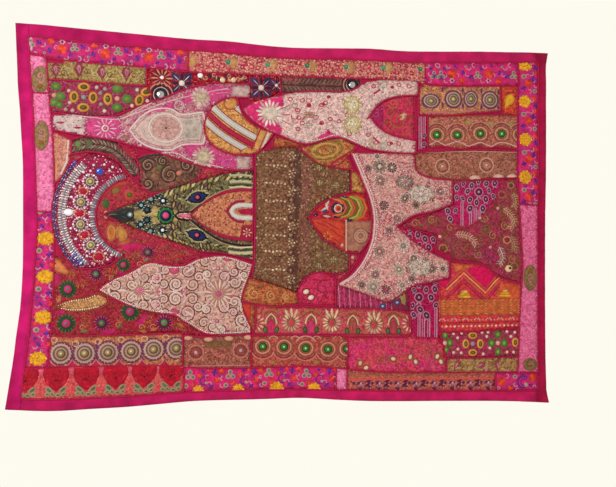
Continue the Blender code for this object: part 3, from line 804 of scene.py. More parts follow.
def worked(work, outline, base, threads, rise=0.6, pitch=7, shape=STITCH, size=(9, 3), turn=None):
    """An area filled in one silk, with stitches of others strewn over it."""
    work.fill(outline, base, rise)
    work.strew(shape, pitch, size, threads, rise + 0.3, margin=1.5, turn=turn, within=outline)


def heading(angle, squash=1.0):
    """A step of unit length in a direction in degrees, or less upwards with a squash."""
    return np.array([math.cos(math.radians(angle)), squash * math.sin(math.radians(angle))])


def rayed(work, at, radius, count, threads, hearts, slim=0.6, rise=1.2, first=0.0):
    """A flower of slim petals that stand apart, so that the cloth shows between them."""
    wide, threads = slim * 2 * math.pi * radius * 0.6 / count, threads.split()
    for k in range(count):
        out = heading(first + k * 360 / count)
        reach = radius * np.hypot(*out)
        work.sew(PETAL, np.asarray(at) + out * radius * 0.28, (reach * 0.74, wide),
                 math.degrees(math.atan2(out[1], out[0])), threads[k % len(threads)], rise)
    for share, heart in zip((0.32, 0.2, 0.1), hearts.split()):
        work.sew(DISC, at, radius * share, 0, heart, rise + 1 - share)


def paced(path, pitch, closed=False):
    """Spots along a path, this far apart."""
    path = np.asarray(path, float)
    if closed:
        path = np.vstack([path, path[:1]])
    run = np.concatenate([[0], np.cumsum(np.hypot(*np.diff(path, axis=0).T))])
    count = max(1, round(run[-1] / pitch))
    stations = (np.arange(count) + (0 if closed else 0.5)) * run[-1] / count
    return np.stack([np.interp(stations, run, path[:, c]) for c in (0, 1)], 1)


def spread(outline, pitch, margin, chance, stray=0.32):
    """Spots spread over an outline about this far apart, each a little astray."""
    low, high = outline.min(0), outline.max(0)
    net = np.array([(x + pitch / 2 * (k % 2), z)
                    for k, z in enumerate(np.arange(low[1], high[1], pitch * 0.866))
                    for x in np.arange(low[0], high[0], pitch)])
    net = net + chance.uniform(-stray, stray, net.shape) * pitch
    net = net[inside(outline, net)]
    return net[from_rim(outline, net) > margin] if len(net) else net.reshape(-1, 2)


def clipped(outline, axis, low, high):
    """The part of an outline between two values of x (axis 0) or z (axis 1)."""
    for limit, sign in ((low, 1), (high, -1)):
        kept = []
        for start, end in zip(outline, np.roll(outline, -1, 0)):
            inside_start, inside_end = sign * (start[axis] - limit) >= 0, sign * (end[axis] - limit) >= 0
            if inside_start:
                kept.append(start)
            if inside_start != inside_end:
                kept.append(start + (end - start) * (limit - start[axis]) / (end[axis] - start[axis]))
        outline = np.array(kept)
    return even(outline, 9)


def arc(centre, radius, start, end, count=24):
    """Part of a circle, from one direction to another."""
    turns = np.radians(np.linspace(start, end, count))
    return np.stack([centre[0] + radius * np.cos(turns), centre[1] + radius * np.sin(turns)], 1)


def scroll(at, radius, turns, start, count=14):
    """A curl that winds in to its middle."""
    shares = np.linspace(0, 1, count)
    angles = math.radians(start) + shares * turns * 2 * math.pi
    reach = radius * (1 - 0.88 * shares)
    return np.stack([at[0] + reach * np.cos(angles), at[1] + reach * np.sin(angles)], 1)


def oval(at, wide, high, turn=0.0):
    """An oval loop round a spot."""
    turns = np.linspace(0, 2 * math.pi, 20, endpoint=False)
    x, z = wide * np.cos(turns), high * np.sin(turns)
    c, s = math.cos(math.radians(turn)), math.sin(math.radians(turn))
    return np.stack([at[0] + x * c - z * s, at[1] + x * s + z * c], 1)


def bead_run(work, path, pitch, size, thread, rise=1.4, closed=False):
    """Seed beads in a row along a path."""
    work.row(path, pitch, BEAD, size, thread, rise, GLASS, closed=closed)


floral_print = brocade("printed magenta cotton", "#CC3078", "#A4347C", "#DC5490", 22, cut=0.53, lines=0.25,
    grain=0.2, roughness=0.85)
PRINT_REPEAT = (("orange", 0, 0, 14), ("orange", -29, 20, 9), ("bud", 34, 6, 11), ("violet", 55, 10, 8),
    ("violet", -32, -5, 8), ("violet", 24, -14, 6), ("rosette", 1, 20, 8), ("curl", -50, -20, 6),
    ("curl", 12, -22, 6), ("curl", 44, -24, 7), ("curl", 66, 4, 6), ("curl", -14, 4, 5),
    ("curl", 20, 22, 5), ("violet", -8, -24, 5), ("leaf", 70, -18, 4))


def printed(work, anchors, motifs=PRINT_REPEAT, flip=1):
    """The print's repeat at each anchor: orange and violet flowers, pale-rimmed buds and mauve curls."""
    for x, z, (kind, dx, dz, size) in [(x + m[1], z + m[2] * flip, m) for x, z in anchors for m in motifs]:
        if kind == "orange":
            work.around((x, z), 5, size * 0.55, DOME, (size * 0.58, size * 0.5), "#E8482C #D83820", 0.8,
                        first=31 * dx + 18)
            work.sew(DOME, (x, z), size * 0.42, 0, "#E85C34", 1.1)
        elif kind == "violet":
            work.around((x, z), 4, size * 0.5, DOME, (size * 0.62, size * 0.42), "#7C2C9C #5C2088", 0.7,
                        first=50 * dx)
        elif kind == "rosette":
            work.around((x, z), 6, size * 0.7, DOME, size * 0.34, "#DCB4C4 #C89CB0", 0.8)
            work.sew(DOME, (x, z), size * 0.36, 0, "#5C2470", 1.0)
        elif kind == "curl":
            work.line(arc((x, z), size, 47 * dx, 47 * dx + 190, 10), size * 0.6, "#CCA0B4", 0.7)
        elif kind == "hoop":
            work.line(arc((x, z), size, 40, 290, 16), size * 0.4, "#6E2494", 0.9)
            work.sew(DOME, [(x + size * 0.5, z - size * 0.5)], size * 0.4, 0, "#B8A098", 0.8)
        for turn in {"bud": (95, 215, 325), "leaf": (0,)}.get(kind, ()):
            lobe = np.array([x, z]) + heading(turn) * size * 0.66 * (kind == "bud")
            lobe_size = size * (0.66 if kind == "bud" else 1.1)
            work.sew(DOME, [lobe], (lobe_size, lobe_size * 0.9), turn, "#BCA89C", 0.7)
            work.sew(DOME, [lobe], (lobe_size * 0.62, lobe_size * 0.56), turn, "#66805C", 1.3)


top_outline = even(outline_of("strip_top"), 9)
work = border("top_floral_left", top_outline, 0, -900, -302, floral_print, wash=0.7, shade=0.96)
printed(work, [(-754, -34), (-639, -40), (-524, -45), (-408, -49), (-293, -51)])
work.sew(DOME, [(-720, -18), (-722, -30), (-718, -42)], (4, 7), 0, "#D4A8C0", 0.8)
work.line([(-303, -27), (-305, -79)], 8, "#D23A22", 0.9)
work.finish_off()
work = border("top_floral_right", top_outline, 0, 380, 900, floral_print, wash=1.1, shade=1.16)
turned_repeat = [(kind, -dx, dz, size) for kind, dx, dz, size in PRINT_REPEAT]
printed(work, [(461, -51), (572, -46), (683, -41)], turned_repeat, flip=-1)
printed(work, [(372, -53)], [m for m in PRINT_REPEAT if m[0] != "orange"], flip=-1)
work.finish_off()

eyed_silk = brocade("rose and beige embroidered silk", "#BC3A58", "#CC7C70", "#DCA084", 6, cut=0.52,
    lines=0.5)
work = border("top_eyed_border", top_outline, 0, -300, 378, eyed_silk, wash=0.75, shade=0.96)
work.strew(DOME, 6.4, (3.4, 2.6), "#ECB49C #DC9484 #DCB48C #B82C4C #E49C98 #D0906C", 0.9, share=0.85)
for k, (x, z) in enumerate(((-304, -54), (-191, -52), (-79, -52), (33, -50), (145, -48), (255, -44),
        (364, -42))):
    worked(work, np.add((x, z), [(2, 9), (13, 21), (25, 15), (28, 0), (22, -17), (9, -20), (3, -8)]),
        "#C4925C", "#D4A870 #A88048 #C88C64", 1.2, 6)
    for dx, dz, radius in ((46, 8, 6), (66, -8, 6), (88, 10, 6), (60, 12, 4), (40, -12, 5), (84, -12, 5)):
        work.ring((x + dx, z + dz), radius, 3, ["#B02048", "#C83858"][dx % 4 > 1], 1.5)
        work.sew(DOME, (x + dx, z + dz), radius * 0.4, 0, "#E8B8A0", 1.5)
    if k:
        work.sew(TEAR, (x - 14, z - 1), (27, 19), 0, "#DCC09C", 1.8)
        work.sew(DOME, (x, z), (8.4, 7.2), 0, ["#2C7C58", "#2F8E64", "#3A9C78"][k % 3], 2.6)
        work.sew(DOME, (x + 1, z + 1), 3, 0, "#7CC0A4", 3.4)
work.finish_off()


# Side and bottom strips
# Sari borders again: pink silk with long ovals and a floral print with marigolds down the sides, red
# roses with leaves, the print once more, and a narrow woven border along the bottom.
def marigold(work, at, wide, high):
    """A ragged golden head, with a rim of petals."""
    work.fill(oval(at, wide, high), "#EEB420", 0.9, 4)
    work.strew(PETAL, 4.8, (7, 3.2), "#FCD048 #D08C10 #B87008 #F0B828", 1.9,
               within=oval(at, wide - 2, high - 2))
    rim = oval(at, wide - 1, high - 1)[::2]
    work.sew(DOME, rim, (3.2, 3.2), 0, "#F4C030 #D89818", 1.2)


def pink_cloth(name, outline, low, high, hearts=(), axis=1, wash=0.4):
    """Pink figured silk with olive oval hearts, each with a rose-beige middle and a dark gold spot."""
    work = border(name, outline, axis, low, high, pink_silk, wash=wash)
    work.ground("#F49CC4 #DC6098 #F8B4D0 #E478A8", 0.5, 7.5, (8, 2.8))
    for x, z, wide, tall, spot in hearts:
        work.fill(oval((x, z), wide, tall), "#8C7A44", 0.9, 5)
        work.fill(oval((x + 1, z + spot / 3), wide * 0.66, tall * 0.6), "#BC8472", 1.2, 5)
        work.ground("#7C6E34 #A08850 #B87C68 #6A5C2C #C4907C", 2.2, 5, (9, 3.4),
            within=oval((x, z), wide - 2, tall - 3))
        work.line(scroll((x, z + spot / 2), wide * 0.6, 1.3, 60, 16), 3, "#74642C", 2.4)
        work.ring((x, z), (wide, tall), 2.6, "#A8685C", 1.3)
        work.sew(DOME, (x - 1, z - spot), (wide * 0.5, tall * 0.2), 0, "#8A5C1C", 2.0)
    work.finish_off()


pink_silk = brocade("pink figured silk", "#EA78AA", "#D45890", "#F6A4C8", 12, cut=0.54, lines=0.45,
    grain=0.25)
right_outline = even(outline_of("strip_right"), 9)
left_outline = even(outline_of("strip_left"), 9)
work = border("right_floral", right_outline, 1, -425, 100, floral_print, wash=1, shade=1.14)
for at, wide, high in (((684, -18), 20, 12), ((684, -122), 18, 18), ((686, -235), 19, 19),
        ((685, -346), 19, 19)):
    marigold(work, at, wide, high)
printed(work, [(684, -10), (684, -122), (686, -235), (685, -346)],
    (("orange", 29, 9, 8), ("orange", 11, -57, 12), ("orange", 33, -27, 6), ("violet", 33, -10, 8),
    ("violet", 25, -45, 9), ("violet", -5, -72, 8), ("leaf", -4, -38, 8), ("leaf", 31, -80, 7),
    ("curl", 14, -82, 6), ("curl", 20, -28, 6), ("curl", 34, -64, 5), ("curl", 8, -36, 5),
    ("rosette", 22, 4, 6), ("curl", 27, -50, 4)))
work.finish_off()
pink_cloth("right_pink", right_outline, -917, -427, [(700, -641, 21, 38, -18), (699, -893, 22, 18, 2)],
    wash=0.95)
pink_cloth("left_pink_short", left_outline, -159, 0, [(-693, -125, 22, 36, 18)])
pink_cloth("left_pink_long", left_outline, -479, -161, [(-686, -276, 19, 40, 19)])

work = border("left_floral", left_outline, 1, -2000, -481, floral_print, wash=0.85, shade=1.06)
for at in ((-668, -552), (-667, -654), (-670, -762), (-681, -871)):
    marigold(work, at, 22, 18)
printed(work, [(-668, -447), (-668, -552), (-667, -654), (-670, -762), (-681, -871)],
    (("orange", 18, -71, 8), ("orange", -20, -18, 5), ("violet", 9, -43, 8), ("violet", -10, -72, 7),
    ("leaf", -17, -33, 8), ("curl", 18, -25, 8), ("curl", -4, -48, 6), ("curl", -19, -77, 6),
    ("curl", 2, -58, 5), ("curl", 18, -50, 5), ("violet", -20, -55, 5), ("rosette", -2, -88, 4)))
work.finish_off()

bottom_outline = even(outline_of("strip_bottom"), 9)
rose_ground = brocade("rose border silk", "#DC8474", "#D86474", "#D4A484", 8, cut=0.52, lines=0.5,
    grain=0.3)
work = border("rose_border", bottom_outline, 0, -2000, -299, rose_ground, wash=1.7, shade=1.02)
work.ground("#D4A080 #C87060 #E0B090 #C05058", 0.5, 7.5, (7, 2.6))
for x, z in ((-711, -928), (-633, -927), (-555, -925), (-479, -922), (-404, -919), (-332, -916)):
    work.fill(np.add((x, z), [(39, 34), (28, 34), (37, 2), (41, 2), (50, 34)]), "#E8647C", 0.7)
    work.fill(rounded(np.add((x, z), [(-31, 34), (31, 34), (34, 12), (25, -8), (8, -26), (0, -32),
        (-8, -26), (-25, -8), (-34, 12)]), 5, sharp=60), "#B80A2C", 0.9, 5)
    for count, reach, size, threads, rise in ((8, 21, 13, "#CC1038 #B80C2C #D4183C", 1.4),
            (6, 12, 10, "#A80822 #C00E30", 2.0), (4, 5, 6.5, "#8C061C #A40A24", 2.6)):
        work.around((x, z + 3), count, reach, PETAL, (size * 1.5, size), threads, rise, first=x, turn=90)
    work.sew(DOME, (x, z - 1), 3.4, 0, "#70041A", 3.2)
    for dx, dz, long, wide, turn in ((-18, -27, 19, 12, -38), (18, -26, 19, 12, 38), (-9, -38, 13, 9, -60),
            (6, -40, 13, 9, 0), (20, -37, 12, 9, 30), (-22, -38, 12, 8, 20)):
        work.sew(DOME, (x + dx, z + dz), (long * 0.5 + 2.4, wide * 0.5 + 2.2), turn, "#ACA880", 1.3)
        work.sew(DOME, (x + dx, z + dz), (long * 0.5 - 0.6, wide * 0.5 - 1), turn,
            ["#4A8454", "#5C7048"][dx > 0], 2.0)
work.finish_off()

work = border("bottom_floral", bottom_outline, 0, -297, 122, floral_print, wash=1.15, shade=1.16)
for at, radius in (((-258, -960), 14), ((-149, -958), 15), ((-43, -956), 19), ((62, -958), 17)):
    marigold(work, at, radius, radius)
printed(work, [(-258, -958), (-149, -957), (-43, -953), (62, -956)],
    (("hoop", 16, 25, 11), ("bud", -22, 40, 12), ("leaf", -34, 12, 7), ("orange", 49, 26, 8),
    ("orange", 4, 38, 7), ("orange", -15, 17, 7), ("orange", 63, 51, 8), ("violet", 43, 47, 9),
    ("violet", 35, 9, 7), ("violet", 12, 52, 5), ("curl", 30, 17, 5), ("curl", 24, 36, 5),
    ("curl", 58, 36, 5), ("curl", -44, 30, 5), ("curl", 64, 12, 5), ("orange", 28, 52, 5)))
work.finish_off()
pink_cloth("bottom_pink", bottom_outline, 124, 154, axis=0)

woven_border = brocade("salmon and violet woven border", "#B86C54", "#98604C", "#CC8478", 6, cut=0.52,
    lines=0.4)
work = border("bottom_woven", bottom_outline, 0, 156, 590, woven_border, wash=0.95, shade=1.08)
work.ground("#9C7440 #B08450 #8A5C38 #C86C54", 0.8, 5.5, (6, 3), turn=0,
    within=[(150, -908), (600, -908), (600, -928), (150, -928)])
work.line([(150, -932), (600, -932)], 7, "#E0604C", 0.7)
for x in np.arange(196, 590, 53.6):
    for side in (-1, 1):
        work.sew(LEAF, [(x + side * 11, -940), (x + side * 14, -947), (x + side * 9, -955)], (20, 8),
            (side * 12, side * -28, side * 40), "#4C1E4C #5C2858 #44203C", 1.1)
        work.sew(DOME, (x + side * 22, -943), (4, 5), 0, "#582850", 1.1)
        work.sew(DOME, (x + side * 6, -950), (3, 4), 0, "#B8809C", 1.9)
    work.sew(DOME, (x, -944), (4, 5), 0, "#D0A0B4", 2.0)
    work.sew(DOME, (x, -957), (5, 3), 0, "#6C3060", 1.1)
    work.sew(DOME, [(x + 27, -948), (x + 27, -957)], (3, 3), 0, "#D08070", 1.1)
work.finish_off()

work = border("bottom_corner", bottom_outline, 0, 592, 2000, floral_print, wash=0.95, shade=1.1)
printed(work, [(0, 0)], (("orange", 611, -941, 13), ("orange", 638, -960, 8), ("orange", 707, -932, 12),
    ("hoop", 677, -943, 17), ("hoop", 679, -944, 9), ("leaf", 652, -928, 7), ("violet", 676, -922, 7),
    ("violet", 700, -952, 6), ("rosette", 602, -960, 5), ("curl", 626, -926, 6), ("curl", 654, -950, 6),
    ("curl", 712, -958, 5), ("curl", 660, -966, 5)))
work.finish_off()


# Upper left patches
# Old brocades and mirror-work cut into strips: olive silk, plum silk with four-petalled flowers, a red
# band with a star flower and round mirrors, a patch with navy stars, and a slate chevron border.
def mirror(work, at, radius, thread):
    """A round of mirror glass held by a ring of buttonhole stitches."""
    work.ring(at, radius * 1.25, radius * 0.75, thread, 1.8, across=5)
    work.ring(at, radius * 0.92, radius * 0.22, "#2A1C20", 1.5)
    work.sew(DISC, at, radius * 0.85, 0, "#FFFFFF", 1.3, MIRROR)


def ringed_eye(work, at, wide, high, turn=0, ring="#D09A38", middle="#5E6A1C", heart="#44521A"):
    """An oval eye of one silk in a raised ring of another."""
    work.sew(DISC, at, (wide, high), turn, ring, 1.3)
    work.sew(DISC, at, (wide * 0.66, high * 0.6), turn, "#6A3A20", 1.5)
    work.sew(DOME, at, (wide * 0.56, high * 0.48), turn, middle, 2.0)
    work.sew(STITCH, at, (wide * 0.7, high * 0.3), turn, heart, 2.4)


olive_silk = brocade("olive figured silk", "#B4B26A", "#96783E", "#C4C47E", 16, cut=0.5, lines=0.5)
work = cut("olive_border", [(-671, -79), (-600, -80), (-500, -82), (-416, -85), (-415, -127), (-500, -126),
    (-600, -122), (-668, -121)], olive_silk, slot="olive_brocade", wash=0.75, shade=0.84)
work.ground("#6E5A30 #CDCB86 #8E9A44 #A88250 #B8B670", 0.6, 8, (9, 3))
for x, z in ((-655, -97), (-594, -92), (-533, -98), (-468, -96)):
    work.sew(PETAL, (x + 2, z - 18), (38, 30), 92, "#96304E", 0.9)
    work.sew(PETAL, (x + 2, z - 12), (27, 18), 92, "#C48684", 1.4)
    work.sew(PETAL, (x + 2, z - 8), (16, 7), 92, "#8E2C48", 1.9)
    work.line(scroll((x + 22, z - 8), 10, 1.0, 20, 12), 3, "#7A5A34", 1.0)
    work.line([(x - 12, z + 2), (x + 2, z - 22), (x + 14, z + 3)], 2.6, "#7E2A44", 1.4)
work.finish_off()

plum_silk = brocade("plum figured silk", "#A82A5C", "#7E4A44", "#C85488", 11, cut=0.53, lines=0.4)
work = cut("plum_border", [(-668, -125), (-600, -126), (-500, -130), (-414, -131), (-401, -150),
    (-404, -172), (-455, -194), (-500, -213), (-560, -217), (-652, -211), (-663, -190)], plum_silk,
    wash=0.85, shade=0.74)
work.ground("#C0386E #7A5A3C #8C2450 #A87858 #C08A8C #5E6A34", 0.6, 8)
# Green domes, each with a smaller, lighter green dome in its middle as a painted highlight.
for x, z, size in ((-652, -142, 14), (-640, -168, 15), (-656, -186, 14), (-490, -141, 15), (-464, -168, 15),
        (-490, -192, 15), (-642, -192, 11), (-516, -168, 11)):
    work.sew(DOME, (x, z), (size, size * 0.85), 0, "#4C8A34", 1.3)
    work.sew(DOME, (x, z), (size * 0.55, size * 0.45), 0, "#7C9A3C", 2.1)
for x, z, turn in ((-579, -140, 0), (-604, -168, 90), (-554, -168, 90), (-579, -196, 0), (-431, -170, 75),
        (-412, -146, 20), (-515, -170, 90)):
    ringed_eye(work, (x, z), 17, 12.5, turn)
work.sew(DOME, [(-579, -168), (-490, -168), (-656, -166)], (7, 7), 0, "#93A4A4 #E8B090 #E0A088", 2.0)
work.sew(DOME, [(-545, -140), (-437, -142), (-625, -203), (-523, -203), (-533, -185), (-450, -186),
    (-409, -171), (-523, -143), (-607, -205), (-615, -184), (-535, -155), (-618, -152)], 5.5, 0,
    "#E0D0B4 #B8C0A8 #E4BCA8", 1.6)
work.finish_off()

mirror_red = brocade("madder red cotton", "#B01830", "#C8383C", "#70101E", 12, cut=0.56, lines=0.4,
    roughness=0.8)
work = cut("star_band", [(-411, -88), (-345, -90), (-300, -89), (-215, -88), (-131, -88), (-131, -106),
    (-190, -112), (-250, -118), (-288, -134), (-322, -150), (-352, -170), (-398, -172), (-398, -148),
    (-411, -128)], mirror_red, wash=0.65, shade=0.8)
work.ground("#C03038 #6A1020 #D88068 #B02A30", 0.6, 8, (9, 3))
rayed(work, (-371, -106), 31, 12, "#E0AC8E #C88A70", "#A02A2C", 0.5)
work.around((-371, -106), 12, 10, PETAL, (17, 4), "#5E1016", 1.7, first=15)
work.sew(DOME, (-371, -104), 7.5, 0, "#F6F2EA", 2.8, GLASS)
for reach, thread, width in ((32, "#D88E74", 5), (26, "#1E1A22", 8), (20, "#D8D0C4", 3)):
    work.line(arc((-373, -152), reach, -40, 220), width, thread, 1.4)
mirror(work, (-374, -151), 12, "#22202A")


def navy_star(work, at, size):
    """Four navy points with pale and red veins round a cream heart."""
    work.around(at, 4, 2 * size, PETAL, (38 * size, 32 * size), "#22265A", 1.0, first=46)
    work.around(at, 4, 2 * size, LEAF, (29 * size, 12 * size), "#171838", 1.5, first=1)
    work.around(at, 4, 6 * size, PETAL, (27 * size, 4.5 * size), "#E0DCC4", 2.0, first=46)
    work.around(at, 8, 7 * size, PETAL, (17 * size, 3.5 * size), "#C03A34", 1.9, first=22)
    work.sew(DOME, at, 9 * size, 0, "#F2EAD6", 2.6)


navy_star(work, (-317, -117), 1.0)
for x in np.arange(-268, -136, 11.0):
    low = -101 - 5 * math.sin(x)
    work.sew(PETAL, (x, low), (14, 10), 50 + 90 * math.sin(x * 3),
        ["#221C30", "#D8AE86", "#7A2A30"][int(x) % 3], 1.2)
    work.line(scroll((x + 5, low + 6), 7, 1.0, x * 9, 10), 3, ["#1E1826", "#E0BC90"][int(x) % 2], 1.7)
work.sew(DOME, [(-267, -93), (-205, -103), (-175, -101)], 8, 0, "#F6F2EA #E8CCA0 #E4BA90", 2.6, GLASS)
work.finish_off()

work = cut("butterfly_patch", [(-128, -88), (-47, -87), (-44, -128), (-75, -148), (-110, -158),
    (-127, -157)], mirror_red, wash=1.65, shade=0.8)
work.ground("#C03038 #6A1020 #D88068 #B02A30", 0.6, 8, (9, 3))
navy_star(work, (-97, -119), 1.02)
navy_star(work, (-54, -110), 0.6)
work.finish_off()

slate_brocade = brocade("slate brown brocade", "#62483E", "#3A2E2E", "#86685A", 10, cut=0.55, lines=0.5)
work = cut("chevron_border", [(-41, -86), (60, -85), (185, -87), (190, -94), (178, -108), (136, -124),
    (60, -127), (-41, -130)], slate_brocade, wash=1, shade=1.06)
work.ground("#7C6050 #3E2E2C #8C7262 #6E3A38", 0.6, 8)
for x in np.arange(-34, 132, 12.0):
    for side in (-1, 1):
        work.sew(LEAF, (x, -106 + side * 2), (24, 6), side * (44 + x / 8),
            ["#84705C", "#6E6450"][int(x / 12) % 2], 1.0)
        work.sew(STITCH, (x + 4, -106 + side * 14), (16, 3), side * 52, "#2E2426", 1.3)
work.line([(-38, -107), (132, -105)], 3, "#2E2426", 1.5)
for x in (-30, -14, 2):
    work.sew(DOME, (x, -92), (7, 5), 0, "#A84A4A", 1.3)
for reach, thread in ((30, "#1E1A22"), (25, "#C8947C"), (21, "#1E1A22"), (16, "#D8C4B4")):
    work.line(arc((163, -99), reach, 100, 290), 4, thread, 1.3)
mirror(work, (163, -98), 11, "#1E1A22")
work.finish_off()


# Pink yoke
# The front of a child's dress in rose silk, laid on its side: pale couched braids round a worked breast,
# open-rayed flowers on hot pink at its shoulders and neck. Sewn on over the patches beneath it.
def applied(name, node, material, slot, level=4.0, **settings):
    """An appliqué cut to its solid's outline, with a narrow hem that its cord covers."""
    outline = even(grown(outline_of(node), 2.2), 6)
    return embroider(name, outline, material, level=level, slot=slot, node=node, **settings)


rose_silk = brocade("rose silk brocade", "#D4809C", "#C84880", "#E0B4B4", 12, cut=0.52, lines=0.5)
work = applied("rose_yoke", "pink_yoke", rose_silk, "pink_brocade", wash=0.8, shade=0.74)
PALE = "#E6C0BC #DC98AC #ECD2CA #C8507C #D8B0A4 #B8607C #E8C8C0"
work.ground(PALE, 0.6, 7, (9, 3.2))
neck_end = [(-668, -208), (-575, -215), (-572, -282), (-612, -272), (-640, -262), (-662, -236)]
worked(work, neck_end, "#D8C4BC", "#E0D4CC #CC5C9C #ECE0D8 #D0B8AC #C878A4 #D8CCC0")
work.sew(LEAF, [(-606, -252), (-652, -240)], (28, 10), 0, "#B02450", 1.7)
hot_pink = "#DC5890 #C84080 #E894B4 #D8649C"
for outline in (oval((-525, -248), 50, 38), [(-330, -178), (-290, -130), (-225, -116), (-150, -128),
        (-232, -170)], [(-318, -282), (-262, -276), (-160, -318), (-160, -350), (-230, -345), (-300, -318)],
        [(-420, -205), (-340, -168), (-320, -178), (-400, -222)],
        [(-440, -280), (-400, -296), (-330, -310), (-330, -318), (-420, -304)]):
    worked(work, outline, "#D44884", hot_pink, 0.7)
rayed(work, (-520, -251), 33, 13, "#F0C8D8 #E8A8C8", "#F0D4D4 #B03058 #E0A890", 0.9)
for k, (x, z, turn) in enumerate(((-468, -215, 40), (-448, -196, 30), (-462, -282, -50), (-440, -296, -30),
        (-480, -236, 10), (-482, -268, -20), (-426, -188, 50))):
    work.sew(TEAR, (x, z), (30, 15), turn, ["#C8A088", "#DCA8A8", "#A87868"][k % 3], 1.2)
    work.curve([(x - 6, z - 10), (x + 12, z + 3), (x + 30, z + 12)], 3, "#F0D4CC", 1.6, step=5)
breast = [(-455, -252), (-425, -216), (-395, -196), (-350, -190), (-318, -204), (-258, -196), (-248, -240),
    (-256, -284), (-310, -288), (-348, -304), (-398, -298), (-432, -280)]
worked(work, breast, "#D4BCAE", "#E0CCC0 #C8A89C #E4D4C8 #CC8C98 #D8C0B0", 0.8)
grey = [(-326, -206), (-262, -200), (-252, -240), (-258, -280), (-326, -282), (-312, -262), (-308, -243),
    (-314, -224)]
worked(work, grey, "#BDB2A2", "#C8BFB0 #A89C8C #D0C8BA #B8A898", 1.0, 6, size=(10, 2.6), turn=90)
for grow, thread, width in ((0, "#F0DCD4", 7), (-9, "#CC6C88", 4), (-15, "#E8D0C4", 6)):
    work.line(grown(wound(rounded(breast, 6, sharp=50)), grow), width, thread, 1.5, closed=True)
ROSETTE = (-358, -244)
work.ring(ROSETTE, (45, 39), 7, "#E4D0C4", 1.9, across=5)
worked(work, oval(ROSETTE, 40, 34), "#D0A498", "#E0C4B8 #C07880 #D8B4A8 #B86878", 1.5, 6, size=(7, 2.8))
for reach, threads in ((35, "#E8D4C8 #C48C8C"), (24, "#DCB4A8 #B05C68"), (13, "#E4C8B4 #A8506C")):
    work.around(ROSETTE, 16, reach * 0.55, PETAL, (reach * 0.42, 5), threads, 2.3, first=reach)
work.around(ROSETTE, 9, 8, KNOT, 2.4, "#8C6A3C", 2.8)
work.sew(DOME, ROSETTE, 4.5, 0, "#7A5420", 3.0)
for at, radius in (((-265, -154), 30), ((-254, -320), 34)):
    for count, reach, wide, threads in ((16, 1.0, 13, "#E4CCC0 #D8A8A4"),
            (12, 0.84, 12, "#DCC8B0 #CCA894")):
        work.around(at, count, radius * 0.3, PETAL, (radius * reach * 0.72, wide), threads,
            2.6 - 1.2 * reach, first=radius)
    worked(work, oval(at, radius * 0.6, radius * 0.56), "#CCBC9C", "#DCD0B4 #A89470 #B87C74 #C8BC9C", 2.0,
        5, KNOT, 2.6)
work.ring((-323, -180), 12, 5, "#D4C4B8", 1.5)
work.sew(DOME, (-323, -181), 5, 0, "#8A9478", 1.9)
for arm in ([(-181, -119), (-128, -115), (-128, -148), (-182, -148)],
        [(-166, -317), (-128, -316), (-128, -350), (-164, -350)]):
    worked(work, arm, "#D0B4A8", "#DCC8BC #C48490 #C4A898 #E0D0C4", 1.0, 6, size=(11, 2.6), turn=6)
work.fill(oval((-192, -334), 20, 13, 25), "#CC4488", 1.2)
work.ring((-192, -334), (14, 8), 3, "#E490B8", 1.6, turn=25)
for z in (-128, -137):
    work.line([(-222, z - 4), (-184, z)], 4, "#DCB4BC", 1.2)
for points in (((-640, -216), (-560, -222), (-490, -225), (-452, -212), (-340, -166), (-250, -140),
        (-190, -126)), ((-600, -270), (-540, -280), (-470, -293), (-400, -314), (-330, -312), (-290, -330),
        (-200, -348))):
    work.curve(points, 4, "#ECD0CC", 1.4, step=8)
work.strew(KNOT, 17, 3.2, "#B02860 #F4E8E0 #C04870 #8C6A58", 1.5)
work.finish_off()


# Striped half-round
# Saffron cotton cut as a half-round, with crimson and white stripes laid across it on the slant, ringed
# ovals at its ends and a glass bead. Crimson cord covers its edge.
saffron_cotton = brocade("saffron striped cotton", "#DCA458", "#C88444", "#E8C07C", 9, cut=0.55, lines=0.3)
work = applied("striped_half_round", "striped_medallion", saffron_cotton, "striped_silk", level=4.3,
    wash=0.35, shade=0.9)
work.ground("#E8BC70 #C47E38 #DCA858 #B86A38", 0.5, 7, (9, 3))
for offset, width, thread in ((58, 16, "#D2CCBE"), (14, 19, "#D6D2C6"), (-8, 14, "#B0103C"),
        (-28, 19, "#D6D2C6")):
    middle = np.array([-172 + 0.56 * offset, -238 + 0.83 * offset])
    stripe = np.array([middle + (-84, 62), middle + (-30, 14), middle + (24, -20), middle + (84, -50)])
    work.curve(stripe, width, thread, 0.9, across=5)
    for share in (-0.5, -0.17, 0.17, 0.5) if offset != -8 else (-0.5, 0.5):
        edge = abs(share) > 0.4
        work.curve(stripe + (0.56 * width * share, 0.83 * width * share), 2.4 if edge else 1.6,
            "#98182C" if edge else "#A8A296", 1.9 if edge else 1.7)
arm = [(-104, -228), (-122, -300), (-60, -320), (-40, -240)]
worked(work, arm, "#D49C54", "#E4B870 #BC7438 #D8A458", 1.4, 6)
for offset, width, thread in ((0, 5, "#B02040"), (20, 4, "#B02040"), (29, 12, "#D2CCBE"),
        (38, 4, "#A82C3C"), (47, 11, "#CDC4B4")):
    work.line([(-94 + offset, -226), (-124 + offset, -300)], width, thread, 2.2, across=5)
for at, wide, high, turn in (((-130, -303), 24, 13, 10), ((-182, -168), 19, 17, 0)):
    work.fill(oval(at, wide, high, turn), "#D8994C", 1.9)
    work.ring(at, (wide, high), 3, "#C0443C", 2.2, turn=turn)
    work.ring(at, (wide * 0.5, high * 0.5), 2.6, "#B87838", 2.4, turn=turn)
work.fill([(-165, -152), (-128, -152), (-128, -188), (-152, -186)], "#B0103C", 1.4)
work.sew(DOME, (-148, -171), (9, 9.5), 0, "#F2EAE0", 2.8, GLASS)
work.finish_off()


